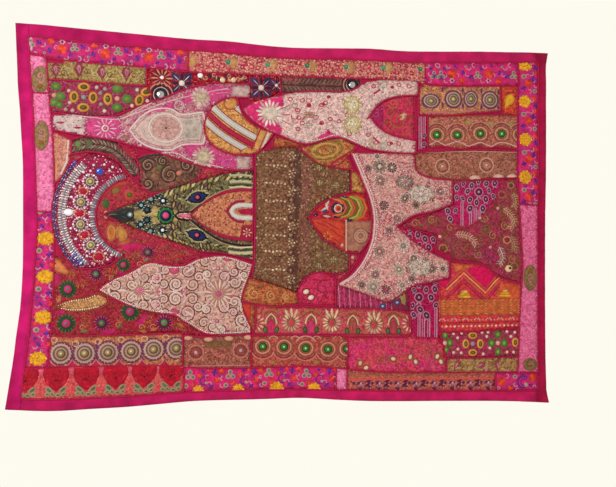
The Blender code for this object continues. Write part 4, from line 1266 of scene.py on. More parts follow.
# White yoke
# Cream brocade cut from the back of a dress: rose figures, crimson bits, a cream flower on hot pink at its
# tip and yellowed sequins towards its right end.
cream_brocade = brocade("cream rose brocade", "#DFC6B8", "#D09C98", "#EADACC", 9, cut=0.56, lines=0.5)
work = applied("cream_yoke", "white_yoke", cream_brocade, "cream_brocade", wash=0.5, shade=0.98)
work.ground("#EADCD0 #D89CA0 #E4CCBC #D8A8A8 #E0D4C0 #ECE2D6", 0.6, 7, (8, 3.4))
tip = [(-165, -165), (-60, -120), (-35, -140), (-32, -168), (-52, -178), (-38, -200), (-52, -214),
    (-35, -235), (-50, -262), (-165, -225)]
worked(work, tip, "#DC2C70", "#E84484 #C82064 #D83878", 0.7)
worked(work, [(48, -262), (84, -240), (94, -224), (102, -238), (140, -246), (120, -262)], "#DC3C7C",
    "#E84C88 #C82C68", 0.7)
work.around((-72, -190), 9, 14, PETAL, (30, 17), "#E8DCD0 #DCCABA", 1.2, first=12)
work.around((-72, -190), 9, 12, PETAL, (26, 15), "#E4D4C4 #E0CCC0", 1.4, first=32)
worked(work, oval((-72, -190), 25, 22), "#DCCCB8", "#ECE4D8 #C0B098 #D8CCB8 #A8A88C", 1.6, 6, KNOT, 3)
for angle in (-25, 0, 25):
    work.line([(-46, -192 + angle * 0.5), (-16, -192 + angle * 1.1)], 2.6, "#C84868", 1.6)
for x, z in ((38, -163), (75, -160), (85, -155), (148, -186), (10, -200), (6, -178), (20, -215), (8, -232),
        (75, -212), (125, -205), (-15, -148), (225, -100), (20, -150), (155, -240), (100, -200),
        (232, -262), (272, -264), (300, -262), (330, -95), (300, -92), (345, -270), (210, -240)):
    work.ring((x, z), (6, 5), 3, "#BC3050", 1.3)
for x, z in ((38, -163), (80, -158), (280, -100), (278, -262), (73, -213), (95, -136), (95, -238)):
    work.sew(DOME, (x, z), (6, 4.5), 0, "#B01C44", 1.8)
for x0, z0, x1, z1 in ((225, -122, 245, -108), (224, -246, 243, -262), (206, -196, 214, -186)):
    work.line([(x0, z0), (x1, z1)], 6, "#B8284C", 1.5)
for z, thread in ((-184, "#C88868"), (-190, "#8E8A64"), (-196, "#C87C6C")):
    work.sew(STITCH, (39, z), (32, 7), 0, thread, 1.4)
for x in (2, 16, 30):
    work.sew(PETAL, (x - 12, -206), (15, 6), 100 - 14 * x / 8, "#C05468", 1.3)
for x, z in ((0, -208), (6, -180), (38, -220), (38, -150), (-2, -165), (58, -196)):
    work.line(rounded(np.add((x, z), [(0, -8), (-8, 1), (-4, 7), (0, 3), (4, 7), (8, 1)]), 4, sharp=100),
        2.6, ["#C86478", "#9CA080"][int(z) % 2], 1.4, closed=True)
for centre in ((163, -156), (164, -212)):
    worked(work, oval(centre, 24, 24), "#DCCCA0", "#ECE0B4 #C8B884 #E4D8B8 #D0B88C", 0.9, 5, DOME, (3, 2.6))
    for reach, count, thread in ((26, 26, "#E8DCB0"), (17, 16, "#D8C890"), (9, 9, "#F0E8C8")):
        work.around(centre, count, reach, DOME, (2.8, 2.8), [thread, "#C8B078"], 2.2)
    work.sew(DOME, centre, 4.4, 0, "#DCE0DC", 2.8, GLASS)
work.strew(DOME, 7, (2.8, 2.4), "#E8DCB4 #CCBC90", 1.2, within=[(140, -176), (186, -180), (208, -188),
    (206, -204), (186, -196), (140, -194)])
for centre, threads in (((38, -218), "#B8BCA0 #D4C8B0"), ((254, -93), "#A8B094 #C8C4AC"),
        ((254, -270), "#B0B498 #C8C0A8"), ((222, -267), "#C8A888 #D8C0A4")):
    work.around(centre, 8, 9, DOME, (3.6, 2.8), threads, 1.6)
    work.ring(centre, 9, 2.6, threads.split()[0], 1.4)
    work.sew(DOME, centre, 3, 0, "#D8D8C8", 2.2)
for points in (((-30, -245), (20, -262), (60, -262), (120, -244), (165, -258), (205, -275)),
        ((0, -136), (60, -133), (120, -128), (150, -118), (190, -96), (215, -88))):
    bead_run(work, rounded(points, 6, closed=False), 5, 2.2, "#F0E4D6")
work.finish_off()


# Middle patches
# The small silks that fill in round the brown cloth: crimson silk with curls in the notch of the white
# yoke, gold and russet leaves and wedges, a crimson round with two cream drops, and purple stripes.
notch_silk = brocade("crimson notch silk", "#C23060", "#A04848", "#D05078", 20, cut=0.52, lines=0.25)
work = cut("notch_silk", [(214, -186), (240, -152), (290, -128), (346, -120), (347, -185), (346, -253),
    (290, -244), (244, -228)], notch_silk, wash=1.05, shade=1.2)
work.ground("#C83A60 #A01C40 #B8564C #96582E", 0.5, 8, (8, 2.6))
worked(work, [(212, -186), (228, -160), (250, -146), (256, -182), (250, -232), (236, -224)], "#A41C58",
    "#C0407C #7C1844 #D088A8 #B02460", 0.8)
for at, radius, start, thread in (((234, -178), 14, 40, "#B88A98"), ((300, -196), 27, 120, "#A8703C"),
        ((284, -146), 17, 200, "#B07A40"), ((326, -226), 17, 60, "#A8703C"),
        ((268, -205), 15, 300, "#8E4A30"), ((328, -150), 14, 20, "#9C5A3C")):
    work.line(scroll(at, radius, 1.4, start, 22), 3.4, thread, 1.1)
work.sew(TEAR, [(300, -180), (326, -182), (316, -168)], (26, 10), (8, 205, -100), "#E2C490 #D8B078 #E8D0A4",
    1.6)
work.sew(LEAF, [(280, -190), (262, -180), (300, -215), (338, -200)], (20, 8), (70, 20, 160, 100), "#B4543C",
    1.2)
work.finish_off()

gold_olive = brocade("gold and olive silk", "#B48A48", "#A0643C", "#CCA75A", 12, cut=0.5, lines=0.5)
russet_silk = brocade("russet and gold silk", "#B0683C", "#9E4A34", "#C48A4C", 11, cut=0.5, lines=0.5)
GOLD_THREADS = "#CC9E50 #A8683A #A89648 #D8B260 #8C5030 #C07040"
RUSSET_THREADS = "#C47A44 #9E4A2E #A87C3C #B85A3C #7C3A2C #D09A58"
for name, silk, threads, points in (
    ("gold_leaf_by_yoke", gold_olive, GOLD_THREADS, [(8, -287), (50, -276), (90, -261), (132, -251),
     (178, -276), (152, -300), (126, -326), (90, -331), (50, -321), (20, -302)]),
    ("gold_sliver_by_stripes", russet_silk, RUSSET_THREADS, [(-58, -256), (-20, -264), (24, -270),
     (20, -279), (-20, -282), (-62, -286)]),
    ("gold_wedge", russet_silk, RUSSET_THREADS, [(102, -331), (150, -302), (166, -346), (130, -345)]),
    ("gold_under_panel", russet_silk, RUSSET_THREADS, [(-150, -668), (-126, -652), (-50, -670), (8, -690),
     (14, -722), (-50, -727), (-104, -723), (-146, -718)]),
    ("olive_sliver", gold_olive, GOLD_THREADS, [(162, -340), (182, -356), (200, -396), (196, -408),
     (164, -405)]),
    ("orange_wedge", russet_silk, RUSSET_THREADS, [(-143, -716), (-106, -725), (-107, -800), (-124, -780),
     (-140, -746)]),
):
    work = cut(name, points, silk, wash=0.6, sharp=35)
    work.ground(threads, 0.7, 7.5, (8, 2.8))
    middle = np.mean(points, 0)
    if name == "gold_leaf_by_yoke":
        for reach in (36, 27, 18):
            work.ring(middle + (-4, 4), (reach * 1.4, reach * 0.72), 3.6, ["#7C6A28", "#D8B45C"][reach % 2],
                1.1, turn=10)
        work.line([(104, -324), (148, -298), (174, -275)], 7, "#B02A28", 1.3)
        work.sew(LEAF, [(30, -285), (52, -305), (80, -275), (112, -262), (140, -268)], (20, 7),
            (-30, 20, -60, 10, -35), "#C8402C #8A8038", 1.4)
    if name == "gold_under_panel":
        for at, radius in (((-110, -695), 17), ((-62, -700), 14), ((-20, -702), 11)):
            work.line(scroll(at, radius, 1.5, 90, 20), 3.6, "#D8A868", 1.2)
        work.line([(-150, -719), (-100, -724), (0, -721)], 5, "#B83020", 1.0)
        work.sew(LEAF, [(-134, -678), (-86, -682), (-40, -688)], (18, 7), (50, 120, 60), "#7C7038", 1.3)
    if name == "orange_wedge":
        work.fill([(-150, -722), (-118, -722), (-118, -770), (-140, -745)], "#C8402C", 0.9)
    work.finish_off()

round_silk = brocade("crimson round silk", "#C42A58", "#B0203C", "#D44C74", 30, cut=0.52, lines=0.2)
work = cut("crimson_round", [(15, -722), (11, -684), (28, -652), (60, -634), (100, -633), (119, -650),
    (121, -728)], round_silk, level=2.4, wash=0.15, shade=1.1)
work.ground("#D03A60 #A82040 #D04A5C", 0.5, 8, (8, 2.6))
for bead in ((36, -688), (50, -704)):
    work.sew(DOME, bead, (9, 7), 20, "#F0DCBC", 2.6)
    work.ring(bead, (11, 9), 2.4, "#6E1024", 1.2, turn=20)
work.line(scroll((84, -676), 22, 1.2, 60, 18), 3.4, "#8E1834", 1.0)
work.sew(LEAF, [(28, -668), (66, -700), (96, -708)], (24, 8), (60, 20, 120), "#8E1834 #E0506C", 1.2)
work.finish_off()

purple_stripe = brocade("purple striped silk", "#A83A68", "#84305C", "#B85474", 8, cut=0.52, lines=0.4)
work = cut("purple_stripes", [(122, -668), (180, -686), (230, -702), (266, -716), (300, -702), (334, -682),
    (336, -742), (240, -732), (124, -731)], purple_stripe, wash=1.2, shade=1.2)
for k, x in enumerate(np.arange(120, 300, 7.5)):
    work.row([(x, -664), (x + 6, -742)], 6, STITCH, (7, 4),
        ["#7C2A5C", "#D89CAC", "#963460", "#C86488"][k % 4], 1.0)
worked(work, [(270, -712), (330, -684), (334, -742), (290, -738)], "#7C2440", "#A83C60 #4E1830 #9C5A6C",
    1.2)
for at, wide, high in (((256, -727), 11, 9), ((298, -716), 12, 9)):
    work.sew(DOME, at, (wide, high), 0, "#34507C", 2.0)
    work.sew(DOME, at, (wide * 0.5, high * 0.5), 0, "#A8C0C4", 2.8)
work.fill(oval((315, -704), 11, 24, 10), "#98904C", 1.6)
work.ring((315, -704), (6, 16), 3, "#C8C07C", 2.0, turn=10)
work.finish_off()


# Brown sequinned cloth
# Golden brown cloth from a wedding blouse: rows of five pale sequin dots on its left, clusters round dark
# rings down its middle, a rose bloom beside them and olive rings at its right.
brown_cloth = brocade("golden brown sequin cloth", "#8E6A48", "#6C4A34", "#A88660", 7, cut=0.5, lines=0.5)
work = applied("brown_sequinned_cloth", "brown_sequin_panel", brown_cloth, "brown_sequin_cloth", wash=0.8,
    shade=0.78)
work.ground("#A27C54 #6E4A34 #B08C66 #7E6844 #94583E #5C4434", 0.6, 7, (7, 2.8))
dark_lane = [(-4, -292), (16, -292), (20, -400), (12, -500), (14, -600), (8, -684), (-8, -684), (-2, -500)]
worked(work, dark_lane, "#5C3C30", "#7A5240 #402A24 #8C6450", 0.6)
bloom = [(18, -300), (44, -322), (56, -400), (40, -440), (34, -480), (48, -520), (44, -590), (20, -640),
    (16, -500)]
work.ground("#A85860 #BC7C7C #8C3C44 #A0685C", 1.0, 6, (8, 3.2), within=bloom)
for x in (-90, 48, 95, 128):
    for z in np.arange(-306, -650, -24.0):
        work.around((x, z), 5, 3, LEAF, (8, 3), "#7C7448 #A8905C", 1.1, first=z)
for z in (-337, -387, -436, -485, -532, -577, -627):
    dots = [(x, z + 1.5 * math.sin(x)) for x in np.linspace(-79, -27, 6)]
    work.sew(DOME, dots, (3.7, 3.4), 0, "#E2CBA4 #D0B488 #E8D8B8", 1.8)
    work.sew(KNOT, [(x + 5, z - 14) for x, z in dots], 2.2, 0, "#4A3228", 1.2)
    work.sew(STITCH, [(x + 2, z + 22) for x, z in dots[::2]], (12, 3), (40, -40, 20), "#B49468", 1.2)
for z in np.arange(-310, -670, -49.0):
    work.ring((-9, z - 24), (8, 9), 3.2, "#33231E", 1.6)
    work.sew(DOME, [(-15, z - 2), (-7, z + 2), (-12, z - 9), (-2, z - 6), (-13, z + 7), (-4, z + 10),
        (1, z + 3)], (3.2, 2.8), 0, "#D8C09C #C4A884 #E4D0B0 #B89878", 1.9)
    work.sew(KNOT, (-9, z - 24), 3, 0, "#D8B898", 1.6)
for at in ((71, -382), (71, -585), (118, -388), (112, -596), (70, -340), (70, -616)):
    work.ring(at, 12, 4, "#6E6A38", 1.3)
    work.around(at, 8, 6, BEAD, 2.2, "#CBB27E #8E8250", 1.7, GLASS)
    work.sew(DOME, at, 3.4, 0, "#C89A78", 2.0)
work.strew(SEQUIN, 10, 2.9, "#B89868 #8E6C48 #CCB084", 1.1, GILT, share=0.7)
work.finish_off()


# Lens insert
# Crimson silk with one navy-ringed eye in orange and lime arcs, a pale sprig beside it, and below them an
# orange quarter and a fawn one with rings.
lens_silk = brocade("crimson and orange lens silk", "#C02848", "#C84434", "#D86A4C", 12, cut=0.52,
    lines=0.3)
work = applied("lens_insert_cloth", "lens_insert", lens_silk, "feather_silk", wash=1.15, shade=0.88)
work.ground("#A0143C #D04040 #B02048", 0.5, 8)
worked(work, [(42, -480), (146, -487), (146, -573), (104, -552), (60, -508)], "#D04A30",
    "#E0603A #B02A34 #D8542E #A8203C", 0.8, 6)
for x0, z0, x1, z1 in ((60, -492, 96, -506), (80, -488, 128, -512), (104, -512, 140, -536),
        (112, -536, 138, -558)):
    work.line([(x0, z0), (x1, z1)], 4.5, "#A01838", 1.5)
rayed(work, (95, -532), 15, 8, "#E8A848 #D88C34", "#C03828", 0.9, 1.6)
work.sew(DOME, (137, -556), 5, 0, "#D8BC9C", 2.2)
worked(work, [(150, -486), (222, -486), (218, -545), (190, -573), (150, -572)], "#B07C60",
    "#C4987C #946048 #CCA88C #A46A54", 0.8, 6)
for reach, thread in ((22, "#8A5440"), (17, "#D8B498"), (11, "#E4CCB4"), (5, "#A05A44")):
    work.ring((190, -529), reach, 3.6, thread, 1.6)
work.line([(148, -484), (149, -572)], 6, "#DDB89C", 1.9, across=5)
for k, (x, colour) in enumerate(((206, "#E07038"), (197, "#8E9A38"), (189, "#B8B850"), (180, "#6C7028"),
        (172, "#D86230"), (164, "#A8AC48"), (156, "#6A5A28"), (148, "#D86A34"), (140, "#E08848"),
        (133, "#B83028"))):
    tall = 34 - k * 1.2
    bend = rounded([(x - 32, -450 + tall), (x - 10, -450 + tall * 0.72), (x, -450),
        (x - 10, -450 - tall * 0.72), (x - 32, -450 - tall)], 5, closed=False)
    work.line(bend, 7.4, colour, 1.1 + 0.08 * k, across=5)
work.fill(oval((124, -453), 20, 19), "#1E2050", 2.2)
for reach, thread in ((14, "#E4D4B8"), (10.5, "#D86030"), (6, "#B02820")):
    work.sew(DISC, (124, -453), reach, 0, thread, 2.3 + (14 - reach) / 12)
for x, z, size, turn in ((116, -429, 17, 20), (143, -419, 15, -10), (156, -485, 17, 0),
        (116, -472, 15, -20), (98, -434, 13, 40), (60, -474, 13, 10)):
    work.sew(PETAL, (x - size * 0.6, z), (size * 1.3, size * 0.75), turn, "#23204E", 2.2)
    work.sew(KNOT, (x, z), 2.6, 0, "#D8C8B0", 2.9)
for x, z, wide, high, turn in ((74, -462, 30, 8, 30), (88, -452, 26, 8, 65), (96, -460, 24, 7, 110),
        (80, -474, 26, 7, -8)):
    work.sew(LEAF, (x, z), (wide, high), turn, ["#E8E2D4", "#A8B4C8", "#E0D4BC"][wide % 3], 2.1)
work.sew(DOME, (86, -462), (7, 6), 0, "#3C4A7C", 2.6)
work.finish_off()

small_red = brocade("red joining silk", "#B82C48", "#9C2838", "#C85464", 9, cut=0.53, lines=0.4)
work = cut("red_strip_by_net", [(158, -578), (186, -579), (176, -600), (150, -640), (124, -664),
    (126, -640), (154, -612)], small_red, wash=0, shade=0.98, sharp=35)
work.ground("#D85C6C #8E1C30 #C88868", 0.8, 7, (7, 2.8))
work.sew(DOME, [(168, -590), (158, -612), (144, -634)], (5, 5), 0, "#E0A890 #5E1024", 1.5)
work.finish_off()


# Net yoke
# The right-hand yoke is embroidered net over rose cotton: a whitish cream mesh with rose showing through
# it, rayed flowers in grey-green, and a pale cord round its neck.
net_silk = brocade("cream net over rose cotton", "#E0CCB4", "#C8808C", "#EADCC8", 8, cut=0.57, lines=0.5)
work = applied("net_yoke", "lace_yoke", net_silk, "beaded_net", wash=1.15, shade=0.92)
work.ground("#ECDCC4 #D4BCA4 #F0E4D4 #CCA090 #E4D0B8 #C04868", 0.6, 6, (7.5, 3.4))
MESH_ZONES = ([(288, -309), (341, -311), (346, -345), (352, -388), (312, -392), (296, -356)],
    [(402, -364), (464, -364), (462, -430), (420, -432), (404, -402)],
    [(240, -452), (292, -452), (302, -500), (292, -540), (244, -540)],
    [(172, -300), (206, -300), (228, -400), (240, -450), (240, -540), (214, -620), (180, -655), (152, -652),
    (200, -590), (226, -500), (210, -410), (186, -345)], [(212, -690), (250, -648), (300, -656),
    (352, -640), (450, -634), (450, -646), (340, -672), (266, -714)],
    [(320, -520), (344, -540), (400, -572), (390, -590), (336, -574)])
for zone in MESH_ZONES:
    work.ground("#D4305C #E8A0A8 #B81C48 #E8CCB8 #C83C64", 1.0, 6.5, (8, 3.6), within=zone)
    work.strew(BEAD, 12, 2.2, "#ECD0C8 #8A2C48 #D87C88", 1.6, GLASS, within=zone)
GREEN, DUSK = "#868A70", "#5C5248"
for x, z, radius, petals, ring, heart in ((236, -301, 12, "#DCD6C4", GREEN, "#B4808A"),
        (244, -330, 21, "#8E947C", DUSK, "#D8D0BC"), (280, -332, 15, DUSK, GREEN, "#E8E0D0"),
        (210, -337, 12, GREEN, DUSK, "#C06878"), (245, -371, 15, GREEN, "#B04A5C", "#DCC8B8"),
        (351, -437, 13, GREEN, DUSK, "#B01C3C"), (257, -441, 14, DUSK, GREEN, "#B8506C"),
        (296, -477, 12, GREEN, "#B8506C", "#DCC8B8"), (273, -512, 12, "#9CA088", DUSK, "#C87080"),
        (314, -555, 16, "#E0DCCC", GREEN, "#A8A890"), (245, -572, 15, GREEN, "#B04A5C", "#E0D0C0"),
        (302, -622, 15, "#C0C8A8", GREEN, "#E0D8C4"), (233, -638, 13, GREEN, "#B0506C", "#DCC0B4"),
        (194, -667, 12, GREEN, DUSK, "#C8788C"), (228, -672, 19, "#B4B8A0", GREEN, "#D8D4C0"),
        (265, -680, 14, DUSK, "#8C5A5C", "#C05070"), (312, -667, 13, "#DCD8C4", GREEN, "#B8A090"),
        (400, -620, 13, GREEN, DUSK, "#D0A8A0"), (330, -502, 12, "#9C7A6A", DUSK, "#D8B8A8"),
        (318, -420, 13, GREEN, DUSK, "#E0D0C0"), (424, -396, 13, GREEN, "#B0506C", "#E4D4C4"),
        (432, -618, 11, "#B4B8A0", DUSK, "#C06878"), (340, -648, 11, GREEN, DUSK, "#C8788C"),
        (345, -590, 10, DUSK, GREEN, "#E0D0C0")):
    rayed(work, (x, z), radius * 1.12, 10, petals, "", 1.0, 1.4, first=x)
    work.ring((x, z), radius * 0.42, 3.2, ring, 1.9)
    work.sew(DOME, (x, z), radius * 0.3, 0, heart, 2.6)
    work.around((x, z), 10, radius + 2, BEAD, 1.9, "#F0E8DC", 1.6, GLASS, first=x)
for x, z, reach, heart in ((366, -405, 42, "#F0ECE0"), (363, -614, 40, "#D8C8B8"),
        (318, -372, 24, "#C8788C")):
    worked(work, oval((x, z), reach * 0.95, reach * 0.62), "#E0D0BE", "#E8DCCC #D8C4B0 #E4B8B0", 0.9, 6)
    for k, angle in enumerate(range(15, 375, 45)):
        tip = heading(angle, 0.66)
        stem = [np.array([x, z]) + tip * reach * share for share in (0.25, 0.6, 1.0)]
        work.line(stem, 2.6, "#6E6A56", 1.5)
        for share in (0.5, 0.72, 0.94):
            for side in (-1, 1):
                work.sew(LEAF, np.array([x, z]) + tip * reach * share, (10, 4.4), angle + side * 55,
                    [GREEN, DUSK, "#A8A890"][k % 3], 1.8)
    rayed(work, (x, z), 13, 9, GREEN, "", 0.9, 2.0)
    work.sew(DOME, (x, z), 6, 0, heart, 3.2)
neck = rounded([(163, -296), (187, -350), (208, -400), (223, -450), (227, -500), (219, -550), (197, -600),
    (166, -640), (128, -667)], 6, closed=False) + (3.5, 0)
work.line(neck, 6.5, "#E8C4BC", 1.9, across=5)
bead_run(work, neck + (7, 0), 5.5, 2.3, "#F4DCD0", 1.7)
bead_run(work, neck + (13, 0), 7, 2.3, "#B03A5C", 1.7)
work.finish_off()


# Lower patches
# A border of turned medallions, a brown ringed brocade, green-eyed silk, a band of petalled drops
# between arches, crimson silk with gold buds, and the red ground round the scrollwork with a gold leaf.
turned_silk = brocade("tan and violet medallion silk", "#C8945C", "#A4704C", "#DCAC70", 9, cut=0.5,
    lines=0.4)
MEDALLION = ((33, "#6E3E5C"), (29.5, "#BCA08C"), (24, "#74524A"), (18.5, "#A89078"), (14, "#6A5040"),
    (9.5, "#A09060"), (4, "#E4D080"))
work = cut("medallion_border", [(-651, -815), (-560, -814), (-440, -810), (-306, -806), (-304, -850),
    (-305, -887), (-375, -884), (-440, -888), (-560, -895), (-652, -895)], turned_silk, wash=1.0,
    shade=0.98)
work.ground("#D8AC74 #B07C4C #98604C #E0B884 #8C4C48", 0.6, 8)
for x, z in ((-585, -832), (-526, -826), (-466, -821), (-404, -819), (-348, -815), (-640, -822)):
    work.ring((x, z), (8, 7), 3, "#E8C898", 1.2)
    work.sew(KNOT, (x, z), 2.6, 0, "#6A4030", 1.4)
for x in (-652, -592, -531, -470, -410, -350):
    work.sew(LEAF, [(x, -846), (x, -864)], (24, 10), (84, -84), "#6A2E6C", 1.0)
    worked(work, [(x - 24, -898), (x + 24, -898), (x, -872)], "#C8184C", "#D83A68 #A01038", 0.9)
    work.curve([(x - 25, -896), (x - 8, -884), (x, -873), (x + 8, -884), (x + 25, -896)], 3, "#E0A888", 1.5,
        step=4)
for at in ((-622, -858), (-561, -857), (-500, -855), (-439, -852), (-380, -847), (-319, -844)):
    work.rings(at, MEDALLION, 1.0, 0.8)
    work.around(at, 20, MEDALLION[0][0] * 0.82, KNOT, 2.5, "#E8C8AC #C09478", 1.9)
    work.around(at, 14, MEDALLION[0][0] * 0.5, KNOT, 2.2, "#C8A488", 2.6)
work.finish_off()

brown_ringed = brocade("brown ringed brocade", "#8C5440", "#A06450", "#C08470", 9, cut=0.53, lines=0.5)
work = cut("brown_ring_patch", [(-297, -812), (-240, -816), (-180, -811), (-118, -809), (-117, -850),
    (-117, -894), (-200, -896), (-297, -898)], brown_ringed, wash=0.8, shade=0.96)
work.ground("#A46A4C #683C2C #C07C68 #806038 #CC8E7C #984038")
worked(work, [(-246, -824), (-166, -822), (-172, -842), (-240, -844)], "#80603A", "#987448 #64482C #A8604C")
for x, z in ((-266, -856), (-144, -851)):
    work.ring((x, z), (21, 20), 5, "#D0806C", 1.3)
    work.ring((x, z), (14.5, 14), 3, "#6A3830", 1.3)
    work.ring((x, z), (9.5, 9), 4.4, "#B04444", 1.7)
    work.sew(DOME, (x, z), 5.5, 0, "#C8B0AC", 2.0)
    work.around((x, z), 16, 26, KNOT, 2.6, "#E0A08C #B86C5C", 1.3)
work.line(arc((-204, -855), 12, 200, 340, 12), 4.5, "#D8806C", 1.4)
for x, z in ((-233, -820), (-177, -818), (-123, -815), (-288, -816)):
    work.sew(DOME, (x, z), (13, 7), 0, "#DCAC88", 1.6)
    work.ring((x, z), (15, 9), 2.6, "#9A3C3C", 1.1)
work.line([(-297, -893), (-118, -891)], 3.4, "#D09480", 1.3)
work.finish_off()

eye_silk = brocade("green eyed silk", "#B87C5C", "#9E5A48", "#CCA078", 8, cut=0.52, lines=0.5)
work = cut("green_eye_border", [(-112, -812), (-30, -810), (60, -811), (152, -813), (154, -850),
    (152, -895), (60, -897), (-30, -896), (-112, -893)], eye_silk, wash=1.65, shade=1.04)
work.ground("#D0A080 #984A3C #B85848 #A4784C #DCA890 #8A6A3C", 0.6, 7.5)


def eyed_row(work, spots, scale=1.0, below=-1):
    """Green eyes in rings of tan and rose, with scalloped lines under or over them."""
    for x, z in spots:
        for reach, thread, width in ((25, "#A0584C", 4.6), (19.5, "#DCB086", 4.6), (15, "#9C6440", 3.4)):
            work.ring((x, z), (reach * scale, reach * scale * 0.94), width * scale, thread, 1.2)
        work.rings((x, z), ((12.5 * scale, "#174A16"), (10 * scale, "#2E8A28"), (3.6 * scale, "#B8ECC4")),
            0.95, 1.5)
        for reach, thread in ((30, "#8A3A40"), (34.5, "#D09A7C")):
            start = 205 if below < 0 else 25
            work.line(arc((x, z), reach * scale, start, start + 130, 18), 3.6, thread, 1.2)


eyed_row(work, [(-83, -840), (-24, -841), (37, -845), (100, -848), (154, -847)])
for x in (-54, 7, 68, 127):
    work.line(arc((x, -824), 13, 20, 160, 10), 3, "#DCB49C", 1.3)
    work.sew(DOME, (x, -884), (9, 6), 0, ["#A8844C", "#C0605C"][x % 2], 1.3)
work.line(arc((37, -843), 32, 30, 150, 16), 4, "#ECBCB0", 1.6)
work.finish_off()

arcade_silk = brocade("rose arcade silk", "#C04E58", "#CC3E68", "#A8743C", 14, cut=0.5, lines=0.5)
work = cut("petal_arcade", [(-101, -725), (-40, -733), (40, -732), (130, -734), (240, -735), (334, -746),
    (337, -800), (330, -810), (240, -812), (60, -808), (-40, -808), (-104, -806)], arcade_silk, wash=0.5)
work.ground("#D8607C #B0683C #A43A44 #CC8C60 #C83A64", 0.6, 8)
for k, x in enumerate((-61, 51, 170, 288)):
    low = -3 if k > 1 else 0
    for reach, thread in ((31, "#A8783C"), (25, "#94502C")):
        work.line(arc((x, -769 + low), reach, 35, 145, 14), 4, thread, 1.0)
    work.fill([(x - 12, -805), (x - 11, -776), (x, -760 + low), (x + 11, -776), (x + 12, -805)],
        ["#D83064", "#DC3A70", "#C85C50", "#B84448"][k], 0.9)
    for reach, thread, width in ((16, "#E8D09C", 5), (10.5, "#5E6434", 3.6)):
        work.curve([(x - reach, -777 + low), (x - reach * 0.7, -761 + low),
            (x, -750 + (reach - 16) * 0.7 + low), (x + reach * 0.7, -761 + low), (x + reach, -777 + low)],
            width, thread, 1.5, step=4)
    for way in (-1, 1):
        green = ["#4A7A3C", "#3E6A34", "#4E7A3A", "#4A7250"][k]
        work.sew(DOME, (x + way * 16, -794 + low), (7, 11), -way * 12, "#2E4424", 1.1)
        work.sew(DOME, (x + way * 16, -794 + low), (5, 8.5), -way * 12, green, 1.7)
    work.sew(PETAL, (x, -802), (30, 9), 90, ["#A83048", "#C84A5C"][k % 2], 1.6)
for x, z in ((-5, -768), (110, -768), (231, -774)):
    work.fill(oval((x, z - 2), 12, 15), "#8E5A38", 0.9)
    work.around((x, z - 5), 15, 11, PETAL, (17, 7.5), "#ECC8A0 #E8BC9C #F0D4AC", 1.6, first=-60)
    work.sew(PETAL, [(x - 9, z + 11), (x, z + 13), (x + 9, z + 11)], (23, 9), (112, 90, 68), "#F0D4A0", 1.7)
    work.sew(TEAR, (x, z + 17), (37, 27), -90, "#9C7A3C", 1.8)
    work.sew(TEAR, (x, z + 12), (30, 21), -90, "#E03458", 2.5)
for x, way in ((-104, 0), (338, 180)):
    work.around((x, -775), 12, 12, PETAL, (15, 5.5), "#ECC8A0", 1.6, first=way)
work.line([(-104, -804), (334, -807)], 4, "#C01850", 1.4)
work.finish_off()

crimson_silk = brocade("crimson figured silk", "#D03468", "#C85050", "#DC5888", 24, cut=0.5, lines=0.3)
work = cut("gold_bud_silk", [(158, -817), (240, -816), (330, -816), (345, -803), (360, -817), (418, -818),
    (436, -840), (444, -900), (444, -918), (340, -915), (240, -912), (160, -903)], crimson_silk, wash=0.6)
for outline in (oval((208, -838), 46, 18), oval((290, -898), 46, 12, 8), oval((385, -896), 40, 16),
        oval((175, -880), 14, 24)):
    work.ground("#E02C78 #C82068 #E85090 #D03C70", 0.8, 6.5, (9, 3.2), within=outline)
for outline in (oval((262, -878), 34, 18), oval((380, -848), 52, 22), oval((305, -838), 30, 16)):
    work.ground("#A84840 #94603C #B8504C #C86C60", 0.8, 6.5, within=outline)
for at, radius in (((262, -872), 20), ((320, -866), 18), ((398, -862), 20)):
    work.line(scroll(at, radius, 1.3, 200, 22), 3.2, "#A0683C", 1.0)
for x, z, turn, thread in ((193, -887, 70, "#D8C480"), (210, -900, 20, "#F0D0A8"),
        (288, -875, -20, "#F4DCBC"), (338, -870, 70, "#F0D8A8"), (354, -884, -70, "#F4DCB8"),
        (418, -869, 60, "#F0D8B0"), (429, -884, -65, "#F4DCB4")):
    work.ring((x, z), (9.5, 8), 3.4, "#8A5C34", 1.2, turn=turn)
    work.sew(DOME, (x, z), (7.5, 5.6), turn, thread, 2.2)
work.finish_off()

# The red ground below and left of the scrollwork, with green and pink ringed flowers
madder_cloth = brocade("embroidered madder cloth", "#A81C3C", "#8A2C2C", "#C84050", 10, cut=0.52, lines=0.4)
work = cut("ring_flower_ground", [(-649, -600), (-560, -590), (-470, -572), (-380, -560), (-330, -562),
    (-262, -596), (-300, -612), (-420, -650), (-528, -676), (-470, -716), (-400, -744), (-320, -760),
    (-270, -790), (-252, -812), (-330, -800), (-440, -806), (-560, -811), (-650, -812), (-646, -700)],
    madder_cloth, wash=0.75, shade=0.84)
work.ground("#C03050 #7C1C24 #98582C #C8506C #A81434 #6E5A2A")
for x, z, wide, high, turn in ((-594, -640, 26, 13, 40), (-500, -640, 20, 12, 10), (-560, -770, 14, 26, 0),
        (-470, -766, 16, 10, 60), (-398, -775, 26, 12, 60), (-310, -788, 24, 10, -20),
        (-575, -672, 20, 10, 20), (-430, -592, 18, 10, 30), (-345, -598, 18, 8, 0)):
    work.ground("#B88A38 #D86A3C #8A7430 #C84A34", 0.9, 6, (9, 3), margin=0,
        within=oval((x, z), wide, high, turn))
for x, z, wide, high, turn in ((-412, -770, 22, 8, 50), (-500, -800, 22, 7, 10), (-470, -640, 12, 7, 60),
        (-636, -660, 8, 18, 0), (-625, -748, 20, 6, 10)):
    work.fill(oval((x, z), wide, high, turn), "#D01C6C", 0.8)
